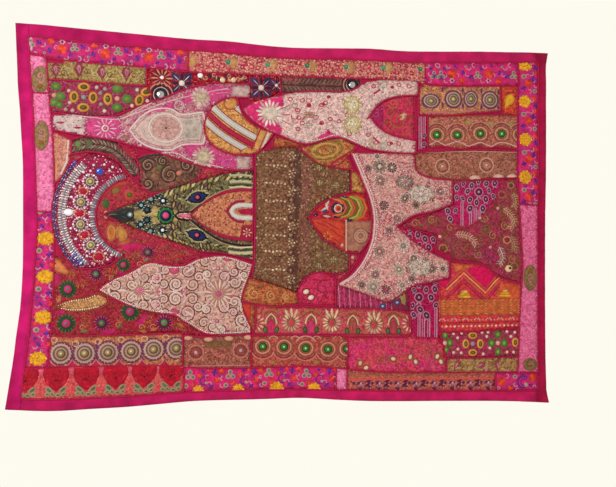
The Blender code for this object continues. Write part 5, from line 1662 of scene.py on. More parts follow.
GREENS, PINKS = ("#426A34", "#2A4424", "#587C44"), ("#C83C80", "#5E1434", "#D0508C")
for x, z, size, (petal, shade, light), heart in ((-608, -687, 24, GREENS, "#D01C78"),
        (-610, -778, 25, GREENS, "#D4207C"), (-444, -746, 25, GREENS, "#C81874"),
        (-536, -646, 18, PINKS, "#2E8A44"), (-518, -777, 20, PINKS, "#2E7A3C"),
        (-353, -775, 21, PINKS, "#3E9A48"), (-464, -620, 18, GREENS, "#D02470"),
        (-400, -585, 18, PINKS, "#4A6A48")):
    work.sew(DISC, (x, z), size, 0, shade, 0.9)
    work.around((x, z), 15, size * 0.58, PETAL, (size * 0.5, size * 0.27), [petal, light], 1.5)
    for share, thread in ((0.66, shade), (0.48, heart), (0.2, light)):
        work.sew(DISC, (x, z), size * share, 0, thread, 2.6 - share)
for x, z, turn in ((-575, -620, 30), (-500, -668, 60), (-575, -800, 10), (-480, -792, 40),
        (-420, -797, -10), (-390, -797, 20), (-318, -776, -30), (-645, -640, 100), (-636, -725, 60),
        (-428, -628, 20), (-478, -588, 0), (-412, -612, 40), (-546, -612, -20)):
    work.sew(LEAF, (x, z), (24, 10), turn, ["#4E7A3C", "#C07A38", "#6E8A40"][int(x + z) % 3], 1.2)
    work.line(scroll((x + 6, z + 10), 9, 1.1, turn, 12), 2.8, "#E08A60", 1.1)
work.fill([(-648, -602), (-628, -612), (-606, -640), (-610, -650), (-640, -640), (-650, -620)], "#D8844C",
    1.0)
work.finish_off()

leaf_gold = brocade("gold leaf silk", "#C8A05C", "#A08050", "#DCB878", 9, cut=0.53, lines=0.5)
work = cut("gold_leaf", [(-641, -733), (-600, -716), (-555, -708), (-530, -696), (-505, -703), (-500, -722),
    (-520, -736), (-560, -744), (-600, -746)], leaf_gold, level=2.5, cord="#8E4A2C", cord_width=3.5,
    wash=0.5, sharp=40)
work.ground("#D8B470 #8A7A4C #B08A5C #C06C4C", 0.7)
for points in ([(-635, -731), (-600, -719), (-560, -712), (-535, -703)],
        [(-632, -737), (-600, -742), (-560, -740), (-525, -732)]):
    bead_run(work, rounded(points, 5, closed=False), 6, 2.8, "#F0D8A4", 1.8)
work.finish_off()


# Left neckpiece and its surroundings
# Half of a beaded neckpiece: crimson satin between two arcs of silver bugle beads, with white beaded
# flowers, couched rings, a mirror drawn as white glass, whose white is a painted reflection, and a blue
# glass stone. Red and olive silks fill in round it.
RED_THREADS = "#CC4A58 #8A1A2C #B8543C #C03A50 #7E3020 #A88038"
paisley_silk = brocade("brown paisley silk", "#7C5C48", "#5A4438", "#94785A", 12, cut=0.52, lines=0.4)
sliver_silk = brocade("salmon and beige striped silk", "#DCA088", "#C88060", "#E8C4A8", 9, cut=0.52,
    lines=0.4)
LEFT_SILKS = (
    ("neck_inside", small_red, [(-512, -385), (-455, -388), (-420, -405), (-395, -428), (-440, -452),
     (-516, -484), (-440, -520), (-400, -540), (-380, -560), (-430, -582), (-480, -590), (-560, -600),
     (-560, -400)]),
    ("red_under_yoke", small_red, [(-460, -515), (-400, -532), (-300, -563), (-262, -578), (-262, -598),
     (-300, -590), (-370, -610), (-440, -620), (-500, -600)]),
    ("red_above_crescent", small_red, [(-612, -328), (-560, -318), (-500, -326), (-452, -378), (-430, -392),
     (-450, -400), (-520, -380), (-600, -345)]),
    ("gold_sliver_left", sliver_silk, [(-656, -266), (-610, -286), (-612, -340), (-630, -380), (-646, -402),
     (-651, -350)]),
    ("slate_arc", slate_brocade, [(-606, -286), (-560, -273), (-510, -281), (-470, -301), (-430, -346),
     (-420, -380), (-450, -377), (-482, -346), (-520, -322), (-560, -317), (-606, -326)]),
    ("olive_paisley_silk", paisley_silk, [(-432, -330), (-400, -318), (-330, -312), (-262, -322),
     (-250, -352), (-280, -386), (-350, -412), (-400, -424), (-424, -400)]),
    ("salmon_sliver", round_silk, [(-482, -296), (-440, -303), (-432, -330), (-446, -336), (-468, -318)]),
    ("red_above_yoke", small_red, [(-262, -330), (-200, -322), (-118, -340), (-118, -352), (-200, -366),
     (-262, -386)]),
    ("gold_leaf_lower", russet_silk, [(-372, -612), (-350, -596), (-330, -572), (-290, -572), (-272, -592),
     (-310, -612), (-350, -618)]),
)
for name, material, points in LEFT_SILKS:
    work = cut(name, points, material, wash=0.75, shade=0.84, sharp=35)
    if material is slate_brocade:
        path = rounded([(-600, -304), (-560, -295), (-510, -301), (-474, -324), (-444, -362), (-434, -378)],
            4, closed=False)
        work.line(path, 3, "#332C2E", 1.0)
        for lean in (40, -40):
            work.row(path, 9, LEAF, (21, 6), "#9A927A #7C6C5A #8A8468", 1.0, turn=180 + lean)
        work.row(path, 12, STITCH, (26, 2.2), "#33302E", 1.3, turn=70)
        work.sew(DOME, [(-590, -297), (-562, -294)], (9, 11), 0, "#6E8A48 #5C6A38", 1.4)
    elif name == "olive_paisley_silk":
        work.ground("#7E6A4C #4C3C34 #8E6A50 #5E5A3C #A08A60 #8C4A44", 0.7, 7.5)
        for at, radius, turn in (((-404, -348), 22, 30), ((-404, -398), 20, 200), ((-345, -372), 28, 90),
                ((-300, -345), 24, 300), ((-365, -335), 15, 120)):
            work.line(scroll(at, radius, 1.7, turn, 26), 5, "#2E2A2A", 1.2)
            work.line(scroll(at, radius - 5, 1.5, turn, 22), 2.8, "#A8946C", 1.5)
        work.sew(DOME, [(-320, -366), (-372, -352), (-388, -376), (-338, -396)], (9, 7), 30,
            "#C07860 #6A8A3C #B08A50 #A05048", 1.8)
        crest = rounded([(-432, -332), (-400, -321), (-330, -315), (-262, -325)], 6, closed=False)
        work.line(crest, 8, "#2C302C", 1.2)
        work.row(crest, 8, LEAF, (11, 4), "#6E7A50 #4A5A40", 1.7, turn=50)
    elif name == "gold_sliver_left":
        work.ground("#ECC4A4 #C8805C #E0A890 #D89878", 0.7, 7.5)
        work.line([(-616, -286), (-619, -345), (-634, -380)], 8, "#E8DCCC", 1.4)
        work.line([(-644, -270), (-645, -350), (-646, -395)], 8, "#D8986C", 1.1)
    else:
        work.ground(RED_THREADS, 0.7)
    if name == "neck_inside":
        work.curve([(-530, -440), (-500, -408), (-462, -398)], 15, "#B84430", 1.0, across=5)
        work.sew(DOME, [(-488, -420), (-474, -440)], (13, 9), 30, "#8A7030 #A83A38", 1.4)
        for x, z, wide, high, turn, thread in ((-498, -532, 15, 27, 0, "#C07034"),
                (-472, -536, 16, 24, 20, "#C88A44"), (-462, -560, 20, 10, 20, "#C86040")):
            work.fill(oval((x, z), wide, high, turn), thread, 0.9)
            work.ring((x, z), (wide * 0.6, high * 0.62), 3, ["#8A6A30", "#E8B880"][wide % 2], 1.5,
                turn=turn)
        work.sew(DISC, (-452, -430), 17, 0, "#C83A44", 1.0)
        ringed_eye(work, (-452, -430), 13, 12, 0, "#A8602C", "#2E8A34", "#4CA848")
        work.sew(DOME, (-514, -456), (10, 14), 0, "#3E6A34", 1.6)
        work.sew(DOME, (-512, -485), (8, 11), 0, "#E0B49C", 2.0)
        worked(work, oval((-446, -570), 34, 13), "#CC1E60", "#E03A78 #A81850", 1.0)
    if name == "red_under_yoke":
        for at, radius, heart in (((-398, -584), 18, "#4A6A48"), ((-440, -556), 9, "#6E6A38"),
                ((-424, -604), 8, "#5E7040")):
            rayed(work, at, radius, 11, "#C04058 #8E1A30", "#A82A44 #5A1A24 " + heart, 0.9)
            work.sew(DOME, at, radius * 0.4, 0, heart, 2.4)
    if name == "red_above_crescent":
        ringed_eye(work, (-535, -336), 15, 12, 0, "#E0B440", "#3E8A34", "#6AA848")
        work.sew(DOME, [(-585, -335), (-560, -340), (-510, -340)], (8, 6), 0, "#C05A8A #E0A890 #A04A6A",
            1.4)
    work.finish_off()

CRESCENT_MIDDLE, NECK_MIDDLE = (-450, -482), (-437, -488)
satin = brocade("crimson neckpiece satin", "#A81C4C", "#7C1438", "#C04070", 8, cut=0.53, lines=0.3,
    roughness=0.4)
work = applied("beaded_neckpiece", "crescent_neckpiece", satin, "beaded_crimson", wash=0.8, shade=0.84)
work.strew(BEAD, 9, 2.2, "#D8A0B0 #6E1030 #E8D0D4 #8E1C48", 1.1, GLASS)
work.line(arc(CRESCENT_MIDDLE, 199, 139, 227, 60), 9, "#40204C", 0.9)
for reach, size in ((201, 3.1), (195, 2.8)):
    bead_run(work, arc(CRESCENT_MIDDLE, reach, 138, 228, 80), 5.6, size, "#2E3078 #9A8CA8 #2A1E50 #6A3468",
        1.8)
work.line(arc(CRESCENT_MIDDLE, 178, 133, 231, 60), 23, "#8C7C80", 0.9, across=5)
for reach, length, thread in ((184, 11, "#FFFFFF #ECE4D8 #C8BCB0"), (173, 10, "#F8F4F0 #DCD0CC #ECE4DC")):
    work.row(arc(CRESCENT_MIDDLE, reach, 134, 230, 80), 6.6, STITCH, (length, 5.6), thread, 2.4, GLASS,
        turn=90)
for spots in (((-597, -600), (-590, -594), (-588, -608)), ((-582, -614), (-576, -606), (-572, -620)),
        ((-604, -352), (-598, -346), (-608, -364))):
    work.sew(DOME, spots, 5.5, 0, "#2A2C9A #4048B4 #1E1E68", 2.8, GLASS)
work.line(arc(NECK_MIDDLE, 112, 100, 260, 60), 15, "#786C74", 1.1, across=5)
work.row(arc(NECK_MIDDLE, 113, 99, 261, 70), 6.4, STITCH, (15, 5), "#D8D0D4 #F0ECEC #8C8088 #C0B4BC", 2.4,
    GLASS, turn=90)
for at in ((-556, -397), (-579, -453), (-579, -513), (-551, -568)):
    away = math.degrees(math.atan2(at[1] - NECK_MIDDLE[1], at[0] - NECK_MIDDLE[0]))
    work.sew(DISC, at, 21, 0, "#7C1234", 1.1)
    work.around(at, 10, 11, PETAL, (11, 10), "#DCC8CC #C8A8B0", 2.0, first=away)
    work.around(at, 18, 19, BEAD, 3.1, "#FFFFFF #D0A8B8 #E8D0D8", 2.4, GLASS)
    for radius, thread in ((14.5, "#5E564C"), (12.5, "#CFC8B8"), (10, "#8A7C4C")):
        work.sew(DISC, at, radius, 0, thread, 2.2 + (14 - radius) / 8)
    work.sew(DOME, at, 8, 0, "#D8C468", 3.4)
for at, reach in (((-574, -424), 12), ((-582, -483), 14), ((-568, -541), 13), ((-529, -600), 15)):
    work.ring(at, (reach, reach * 0.86), 4.6, "#E08A60", 1.8)
    work.sew(DOME, at, (reach * 0.78, reach * 0.66), 0, "#C0123C", 2.2)
    work.around(at, 12, reach + 5, BEAD, 2.2, "#F0D0CC #8A2440", 1.7, GLASS)
# The mirror, drawn as a white glass dome: its white is a painted reflection of the bright room.
work.sew(DOME, (-611, -481), (13.5, 10), 0, "#FFFFFF", 3.4, GLASS)
work.around((-611, -481), 18, 15, BEAD, 2.2, "#B8A0A8 #F0ECEC", 1.7, GLASS)
work.ring((-532, -369), (14, 13), 5, "#8E1A44", 1.8)
work.sew(DOME, (-532, -369), 10.5, 0, "#0C4CB4", 3.2, GLASS)
for x, z in ((-506, -366), (-520, -350), (-498, -356), (-548, -352), (-574, -372), (-556, -368),
        (-506, -606), (-545, -616), (-496, -594), (-560, -598), (-604, -440), (-604, -524), (-556, -480),
        (-552, -455), (-554, -515), (-598, -412), (-540, -585), (-512, -590), (-588, -395), (-590, -552)):
    work.sew(DOME, (x, z), (4, 3.6), 0, ["#F4E4E8", "#D8A8B8"][int(x) % 2], 2.2, GLASS)
work.finish_off()


# Leaf yoke
# A neckline worked in navy, olive and gold silk, laid on its side with its point to the left: leaves,
# navy eyes with rose hearts, a ringed eye and small mirrors between dark outlines, the mirrors drawn as
# silk domes whose colours are painted reflections.
def eye_shape(at, long, high, turn):
    """The outline of an eye with a point at each end."""
    shares = np.linspace(-1, 1, 13)
    top = np.stack([shares * long / 2, (1 - shares**2) ** 1.2 * high / 2], 1)
    loop = np.vstack([top, top[-2:0:-1] * (1, -1)])
    c, s = math.cos(math.radians(turn)), math.sin(math.radians(turn))
    return loop @ np.array([[c, s], [-s, c]]) + at


feather_ground = brocade("navy and olive worked silk", "#5E5C3E", "#262C30", "#989260", 8, cut=0.52,
    lines=0.4)
work = applied("leaf_neckline", "leaf_yoke", feather_ground, "feather_silk", level=4.15, cord="#A01C3C",
    wash=0.25)
work.ground("#A8A060 #222A34 #C4B478 #4A5C34 #161E2A #7E8848")
AXIS = -484.0
work.fill([(-446, AXIS + 10), (-378, AXIS + 22), (-300, AXIS + 14), (-300, AXIS - 14), (-378, AXIS - 22),
    (-446, AXIS - 10)], "#B09C60", 1.0)
for side in (-1, 1):
    arm = rounded([(x, AXIS + side * z) for x, z in ((-430, 26), (-370, 42), (-310, 66), (-250, 88),
        (-190, 98), (-122, 104))], 5, closed=False)
    work.row(arm, 16, LEAF, (31, 15), "#12181C #20281C", 1.0, turn=side * 42)
    work.row(arm, 16, LEAF, (28, 11), "#B8BC68 #E4D898 #8A9C48 #D0BC74", 1.6, turn=side * 42)
    work.row(arm, 16, STITCH, (17, 2.6), "#2C3820 #7A6A30", 2.2, turn=side * 42)
    work.row(arm + (0, side * 15), 11, LEAF, (13, 6), "#181E2C #B4B484 #3C5040 #D0C898", 1.4,
        turn=side * 60)
    work.row(arm - (0, side * 13), 12, LEAF, (15, 5), "#C8BC80 #12181E #8E9C58", 1.6, turn=-side * 30)
    for x, z, thread in ((-305, 77, "#B4B83C"), (-330, 52, "#B8A85C"), (-284, 66, "#A8B048"),
            (-258, 80, "#C8B468"), (-238, 84, "#8E9A48"), (-334, 30, "#C8AC6C"), (-318, 24, "#8E8448")):
        work.sew(PETAL, (x - 3, AXIS + side * (z - 15)), (30, 15), side * 78, "#12181E", 1.7)
        work.sew(LEAF, (x - 2, AXIS + side * (z - 12)), (25, 10), side * 78, thread, 2.3)
        work.sew(STITCH, (x, AXIS + side * z), (16, 2.4), side * 78, "#2C3820", 2.8)
    at = (-269, AXIS + side * 52)
    for long, high, thread, rise in ((78, 42, "#B8B480", 1.6), (72, 37, "#0A1022", 2.2),
            (60, 29, "#1C2A5C", 2.8)):
        work.fill(eye_shape(at, long, high, side * 17), thread, rise, 4)
    work.sew(DISC, at, 11, 0, "#0A1022", 3.4)
    work.sew(DOME, at, (9.5, 9), 0, "#E04A70", 4.2)
    # The small mirrors, drawn as silk domes in greys and greens: their colours are painted reflections.
    for x, z, heart in ((-420, 26, "#8CB0A8"), (-394, 43, "#7CA098"), (-362, 40, "#F4F4EC"),
            (-404, 14, "#3E5A50"), (-376, 58, "#5E7A70")):
        eye = (x, AXIS + side * z)
        work.sew(DISC, eye, (14, 13), 0, "#101820", 1.6)
        work.around(eye, 10, 11, BEAD, 2.6, "#A8BCB0 #24504C", 2.2, GLASS)
        work.sew(DOME, eye, (6.5, 6), 0, heart, 2.6)
    for z, thread, width in ((84, "#D8D0A8", 6), (91, "#3A4C30", 5), (100, "#C4BC90", 11),
            (109, "#3C4A38", 4), (117, "#B8B088", 8)):
        work.curve([(-182, AXIS + side * (z - 3)), (-150, AXIS + side * z), (-110, AXIS + side * (z - 3))],
            width, thread, 2.4, across=5)
    work.row([(-178, AXIS + side * 98), (-114, AXIS + side * 101)], 15, LEAF, (22, 9), "#1E2C18 #4A6034",
        2.8, turn=24 * side)
    work.row([(-171, AXIS + side * 98), (-118, AXIS + side * 101)], 15, LEAF, (15, 4), "#E0D8B4 #8A9C5C",
        3.2, turn=24 * side)
    rim_line = rounded([(x, AXIS + side * z) for x, z in ((-292, 6), (-252, 37), (-202, 66), (-155, 77),
        (-112, 78))], 6, closed=False)
    work.line(rim_line + (0, side * 5), 4, "#A89C6C", 2.0)
    work.line(rim_line, 7, "#0E1622", 2.5)
for x in (-425, -408, -392, -330, -314):
    work.sew(LEAF, [(x, AXIS), (x, AXIS)], (27, 9), (20, -20), "#DCB870 #5E5A2C", 1.7)
for radius, thread in ((26, "#12241C"), (23, "#1E7A34"), (18, "#0C1226"), (14.5, "#1A2450"),
        (9.5, "#E04A78")):
    work.sew(DISC, (-354, AXIS), radius, 0, thread, 1.7 + (26 - radius) / 9)
work.around((-354, AXIS), 20, 20.5, BEAD, 2, "#58B060 #0E3A1C", 2.8, GLASS)
for start, half, thread, rise in ((-336, 15, "#0E1622", 2.2), (-332, 11.5, "#E0C8A8", 2.6),
        (-331, 10, "#B82044", 2.8), (-327, 7, "#E8788C", 3.3)):
    tongue = [(start, AXIS), (start + 14, AXIS + half * 0.8), (-296, AXIS + half), (-284, AXIS + half),
        (-284, AXIS - half), (-296, AXIS - half), (start + 14, AXIS - half * 0.8)]
    work.fill(tongue, thread, rise, 4)
work.fill([(-520, AXIS), (-466, AXIS + 22), (-438, AXIS + 18), (-438, AXIS - 18), (-466, AXIS - 22)],
    "#262B28", 1.5)
work.sew(LEAF, [(-506, AXIS), (-478, AXIS + 1), (-478, AXIS - 1)], (30, 9), (0, 24, -24),
    "#6E7456 #4A5A44 #3E4A3C", 2.1)
for radius, thread in ((12, "#10181A"), (9, "#5E7468"), (4.5, "#C8D8D0")):
    work.sew(DISC, (-449, AXIS), radius, 0, thread, 2.0 + (12 - radius) / 9)
work.finish_off()


# Salmon bib
# Salmon silk let into the neckline of the leaf yoke, with crimson dashes strewn over it. A white U of
# couched braid lies in a crimson one, and crimson braid covers both its long edges.
salmon_silk = brocade("salmon figured silk", "#E49A68", "#CC7A50", "#ECB488", 9, cut=0.55, lines=0.35)
work = applied("salmon_bib_cloth", "salmon_bib", salmon_silk, "salmon_silk", level=4.2, wash=0.4, shade=0.7)
work.ground("#ECA478 #D07848 #F0B48C #D88860", 0.7, 7.5)
work.ground("#B8304C #A02838 #C04038", 1.4, 15, (10, 5))
BIB = AXIS + 16
work.line(rounded([(-140, BIB + 29), (-166, BIB + 25), (-190, BIB), (-166, BIB - 25), (-140, BIB - 29)], 5,
    closed=False, sharp=60), 8, "#A8183C", 1.4, across=5)
for half, width, thread in ((17, 15, "#E4DED0"), (17, 2, "#B0A89C")):
    work.curve([(-108, BIB + half), (-152, BIB + half), (-170, BIB + half * 0.6), (-175, BIB),
        (-170, BIB - half * 0.6), (-152, BIB - half), (-108, BIB - half)], width, thread, 2.0, step=5,
        across=5)
work.fill([(-112, BIB + 8), (-150, BIB + 7), (-158, BIB), (-150, BIB - 7), (-112, BIB - 8)], "#C8104A", 1.8)
for points in ([(-288, -486), (-250, -514), (-200, -535), (-155, -543), (-112, -544)],
        [(-288, -476), (-250, -444), (-200, -419), (-155, -409), (-112, -408)]):
    work.curve(points, 9, "#B01840", 1.5, across=5)
worked(work, [(-146, -504), (-112, -506), (-112, -542), (-152, -542)], "#B0203C", "#C83048 #8E1830", 1.2)
rayed(work, (-131, -526), 14, 7, "#ECDCC0", "#C87858", 0.9, 2.0)
work.finish_off()


# Scroll yoke
# The back of a wedding blouse, laid on its side: scrolls of cream couched cord over a fawn ground, the
# lower half mirroring the upper, with rose patches, a small flower near its point and a large one.
scroll_ground = brocade("fawn ground under scrolls", "#D8B8A0", "#C09480", "#E4CCB8", 6, cut=0.52,
    lines=0.4)
work = applied("scrollwork_yoke", "scroll_yoke", scroll_ground, "cream_scrollwork", wash=0.7, shade=0.9)
work.ground("#F0D8C4 #B89C84 #E8CCB8 #94604E #E4BCB0 #C8B898", 0.6, 7, (9, 3.4))
for x, z, wide, high, turn in ((-328, -631, 15, 13, 10), (-326, -747, 13, 11, -8), (-184, -599, 14, 7, 0),
        (-184, -801, 14, 7, 0), (-169, -702, 9, 6, 0), (-256, -648, 11, 7, 30)):
    work.fill(oval((x, z), wide, high, turn), "#DC5C80", 1.1)
    work.sew(KNOT, (x, z), min(wide, high) * 0.4, 0, "#E890A4", 1.6)
SCROLL_CORDS = ["#ECD4C0", "#F0DCCC", "#E4C8B4", "#ECC8C0"]
SPINE = -690.5
for number, (x, away, radius, start, turns) in enumerate(((-484, 17, 15, 200, 1.5),
        (-441, 19, 15, 20, -1.5), (-408, 38, 13, 160, 1.4), (-378, 36, 16, 60, -1.4),
        (-356, 21, 12, 220, 1.5), (-323, 20, 20, 340, -1.9), (-278, 20, 16, 180, 1.6),
        (-292, 57, 21, 120, -1.6), (-262, 40, 13, 10, 1.5), (-239, 47, 13, 250, -1.5),
        (-230, 17, 11, 90, 1.4), (-193, 42, 15, 300, 1.5), (-163, 27, 16, 40, -1.6),
        (-143, 76, 17, 100, 1.6), (-246, 84, 13, 330, -1.4), (-166, 56, 12, 180, 1.4),
        (-222, 95, 12, 20, 1.3), (-138, 46, 11, 260, -1.4), (-300, 88, 11, 60, 1.3),
        (-350, 58, 11, 120, 1.3), (-400, 14, 8, 20, 1.2), (-196, 104, 10, 200, 1.3),
        (-145, 104, 12, 330, -1.4), (-430, 44, 9, 90, 1.3))):
    for side in (-1, 1):
        at, swing = (x, SPINE + side * away), side * turns
        work.line(scroll(at, radius + 3.4, swing, side * start, 18), 6.4, "#743C34", 1.0)
        work.line(scroll(at, radius, swing, side * start, 18), 6.2, SCROLL_CORDS[number % 4], 2.4)
        tip = np.array(at) + radius * heading(side * start)
        for lean in (50, -60):
            work.sew(LEAF, tip, (19, 8), side * start + lean, SCROLL_CORDS[(number + 1) % 4], 2.0)
for at in ((-374, -655), (-370, -727), (-210, -626), (-210, -770)):
    rayed(work, at, 16, 8, "#F0D8C8 #ECC0B8", "#C8607C #E8A8A0", 0.85, 2.0)
for at, radius, count, heart in (((-419, -689), 27, 15, "#E0608C"), ((-207, -696), 38, 17, "#C85878")):
    work.sew(DISC, at, radius, 0, "#B08070", 1.3)
    rayed(work, at, radius + 3, count, "#F0DCC8 #E8CCB4", "", 1.1, 2.2)
    work.sew(DOME, at, radius * (0.36 if radius < 30 else 0.24), 0, heart, 3.0)
    work.around(at, 9, radius * 0.28, BEAD, 2.2, "#ECB0AC", 3.0, GLASS)
for at in ((-367, SPINE), (-302, SPINE)):
    work.ring(at, (8, 10), 3.4, "#D87890", 2.0)
    work.sew(DOME, at, 4, 0, "#C8607C", 2.2)
for x, z, long, turn in ((-482, -689, 32, 0), (-270, -693, 34, 2), (-300, -640, 36, 32),
        (-300, -741, 36, -32), (-340, -690.5, 26, 0), (-255, -663, 22, 50), (-255, -722, 22, -50)):
    work.sew(LEAF, (x, z), (long, 9), turn, "#F2DECC", 2.0)
    work.sew(STITCH, (x + long / 2, z), (long * 0.6, 2), turn, "#A87868", 2.5)
bead_run(work, grown(wound(work.patch.outline), -4), 5.2, 2.4, "#F0D8C8", 1.4, closed=True)
work.finish_off()


# Right patches
# More medallion, eyed and brown ringed borders, a gold leaf on orange, a sliver of purple silk whose
# flowers stand over long stems, and a crimson strip below the eyes.
work = cut("medallion_border_right", [(362, -96), (440, -92), (520, -88), (605, -86), (607, -120),
    (608, -152), (520, -163), (440, -172), (364, -173)], turned_silk, wash=0.5)
work.ground("#C89878 #A0684C #8C5448 #844C64 #D08C84 #B8706C", 0.8, 8)
for x in (430, 491, 548, 600):
    work.sew(LEAF, [(x, -108), (x, -134)], (20, 9), (84, -84), "#6A3468", 1.0)
for x, z, wide, squash, turn in ((396, -134, 29, 0.78, 0), (463, -126, 28, 1.0, 0),
        (516, -123, 27, 0.84, 80), (575, -123, 28, 1.0, 0)):
    for radius, thread in MEDALLION:
        work.sew(DISC, (x, z), (radius * wide / 33, radius * wide / 33 * squash), turn, thread,
            2.4 - radius / 25)
    work.around((x, z), 20, wide * 0.66, KNOT, 2.3, "#C8A0A0 #A8808C", 2.2)
work.line([(362, -167), (440, -166), (520, -158), (610, -149)], 7, "#D87C7C", 1.0)
work.finish_off()

leaf_orange = brocade("orange leaf silk", "#D04C2C", "#B43428", "#D8643C", 10, cut=0.54, lines=0.4)
work = cut("orange_leaf_patch", [(613, -84), (660, -82), (662, -120), (660, -164), (615, -160)],
    leaf_orange, wash=0.3)
work.ground("#E06C3C #B83C28 #D0503C", 0.7, 7.5, (7, 3))
work.sew(TEAR, (621, -146), (50, 36), 62, "#FCC428", 1.6)
work.sew(TEAR, (629, -134), (24, 12), 64, "#E8A420", 2.6)
work.line(arc((642, -122), 25, -70, 140, 16), 4, "#C02840", 1.2)
work.finish_off()

purple_flowered = brocade("purple flowered silk", "#B4145C", "#901450", "#CC2C70", 10, cut=0.54, lines=0.3)


def purple_buds(work, flowers, stems=()):
    """White-ringed flowers with grey-green hearts over long pale stems."""
    work.ground("#B82C70 #84144C #C44880 #A01C50", 0.6, 8)
    for x, high, low in stems:
        for shift, thread in ((-3, "#C89CB8"), (3, "#D8B8CC")):
            work.line([(x + shift, high), (x + shift, low)], 3, thread, 1.2)
    for x, z, radius in flowers:
        high = radius * (1.25 if radius < 11 else 1.0)
        turn = 40 * math.sin(x)
        work.sew(LEAF, [(x, z - radius), (x, z - radius)], (radius * 1.2, radius * 0.5), (-50, -130),
            "#B8A0B0", 1.1)
        work.sew(DISC, (x, z), (radius + 2, high + 2), turn, "#6A0C48", 1.1)
        work.ring((x, z), (radius, high), 3.6, "#C4ACBA", 1.8, turn=turn)
        work.sew(DOME, (x, z), (radius * 0.62, high * 0.62), turn, "#6E4A5C", 1.5)
        work.sew(DOME, (x, z), radius * 0.34, 0, "#A8BCA0", 2.3)


work = cut("purple_sliver", [(357, -181), (384, -179), (385, -225), (384, -272), (357, -276)],
    purple_flowered, wash=1.7, shade=1.08)
purple_buds(work, ((375, -235, 6), (375, -261, 6)), ((364, -180, -276), (376, -180, -228)))
work.finish_off()

work = cut("green_eye_border_right", [(389, -182), (460, -177), (540, -170), (620, -166), (661, -166),
    (664, -215), (662, -262), (600, -258), (570, -262), (540, -260), (480, -268), (430, -262), (392, -270)],
    eye_silk, wash=0.95, shade=1.02, sharp=60)
work.ground("#D8AC88 #984A48 #B85858 #98884C #DCB094 #B84C5C #7C7440", 0.7)
eyed_row(work, [(414, -232), (476, -230), (546, -223), (612, -221), (668, -222)], 1.0, 1)
for x in (445, 510, 580, 640):
    work.sew(DOME, (x, -192), (12, 7), 0, ["#A8985C", "#C87C70"][x % 2], 1.3)
for shift, thread in ((0, "#ECBCA8"), (7, "#B86A60")):
    work.curve([(392, -262 + shift), (415, -250 + shift), (440, -262 + shift), (476, -250 + shift),
        (510, -262 + shift), (546, -248 + shift), (580, -260 + shift), (612, -246 + shift),
        (660, -258 + shift)], 4.2, thread, 1.4)
work.finish_off()
work = cut("crimson_under_eyes", [(388, -268), (430, -268), (500, -266), (580, -262), (661, -262),
    (661, -270), (500, -276), (388, -282)], round_silk, level=1.7, cord=None, wash=0, shade=0.8, sharp=60)
work.ground("#D84068 #A81840", 0.6, 8, (7, 3))
work.finish_off()

work = cut("brown_ring_border", [(357, -288), (430, -280), (520, -274), (600, -271), (661, -272),
    (662, -346), (600, -349), (520, -357), (440, -359), (385, -356), (350, -342), (348, -300)],
    brown_ringed, wash=0.5)
work.ground("#B07C5C #7A4C38 #C88C74 #8A7044 #C06C5C #A0844C #D09880", 0.7)
for x, z in ((431, -323), (565, -315)):
    for reach, thread, width in ((21, "#E0AC8C", 4.6), (16, "#8A5440", 3), (8, "#D89C84", 3.6)):
        work.ring((x, z), reach, width, thread, 1.5)
    work.sew(DOME, (x, z), 4.5, 0, "#E8C4AC", 2.2)
    work.around((x, z), 18, 26, KNOT, 2.6, "#D8988C #B07048", 1.4)
for x, z, radius in ((498, -318, 14), (628, -312, 12), (470, -305, 16), (520, -300, 12), (396, -310, 12),
        (604, -290, 10)):
    work.line(arc((x, z), radius, 20, 160, 12), 4, ["#D88878", "#C88C6C"][x % 2], 1.4)
for x, z in ((530, -356), (602, -350), (644, -349)):
    work.sew(DOME, (x, z), (18, 11), 0, "#ECC8B0", 1.8)
work.line([(380, -284), (440, -281), (520, -276), (660, -274)], 3, "#E0B090", 1.3)
work.finish_off()


# Plum feather silk
# Plum silk with brown clouds, and beige feathers, ringed eyes and a pale paisley drop worked on it. Purple
# silk with white-ringed flowers lies above it and in the notch of the net yoke.
plum_olive = brocade("plum and olive brocade", "#A83C60", "#845038", "#982A60", 22, cut=0.5, lines=0.3)
work = cut("plum_feather_silk", [(622, -354), (665, -352), (668, -400), (668, -655), (640, -648),
    (600, -635), (560, -604), (460, -592), (455, -575), (412, -560), (415, -522), (345, -505), (300, -498),
    (350, -478), (400, -461), (465, -430), (466, -362)], plum_olive, level=1.9, wash=1.15, shade=1.1,
    sharp=40)
work.ground("#BC4870 #8A5638 #A83058 #8A6A3C #C46484 #9C4A3C", 0.7, 7.5)
for zone in ([(420, -520), (560, -510), (558, -560), (500, -592), (440, -570)],
        [(592, -380), (665, -372), (665, -500), (600, -470)], [(600, -510), (665, -500), (665, -645),
        (606, -610)], [(320, -500), (400, -470), (460, -450), (440, -500)]):
    work.ground("#7C5838 #946C44 #6A4634 #A0704C #8A8048", 1.0, 6.5, (8, 3.2), within=zone)
work.ground("#B42C74 #9C2064 #C04880", 1.0, 6.5, (8, 3.2), within=[(500, -575), (585, -545), (598, -600),
    (560, -604)])
for path, plume in (([(616, -440), (640, -458), (652, -478), (636, -500)], "#D0B088"),
        ([(470, -520), (498, -520), (520, -530), (534, -548)], "#E0B0A0"),
        ([(604, -552), (612, -570), (616, -586), (604, -604)], "#D8C0C4"),
        ([(648, -392), (656, -420), (650, -436)], "#B8A070"), ([(640, -520), (652, -545), (650, -565)],
        "#B89474")):
    curve = rounded(path, 4, closed=False)
    work.line(curve, 4.4, plume, 1.5)
    for lean in (55, -55):
        work.row(curve, 7, LEAF, (15, 4.6), [plume, "#C8986C"], 1.6, turn=lean)
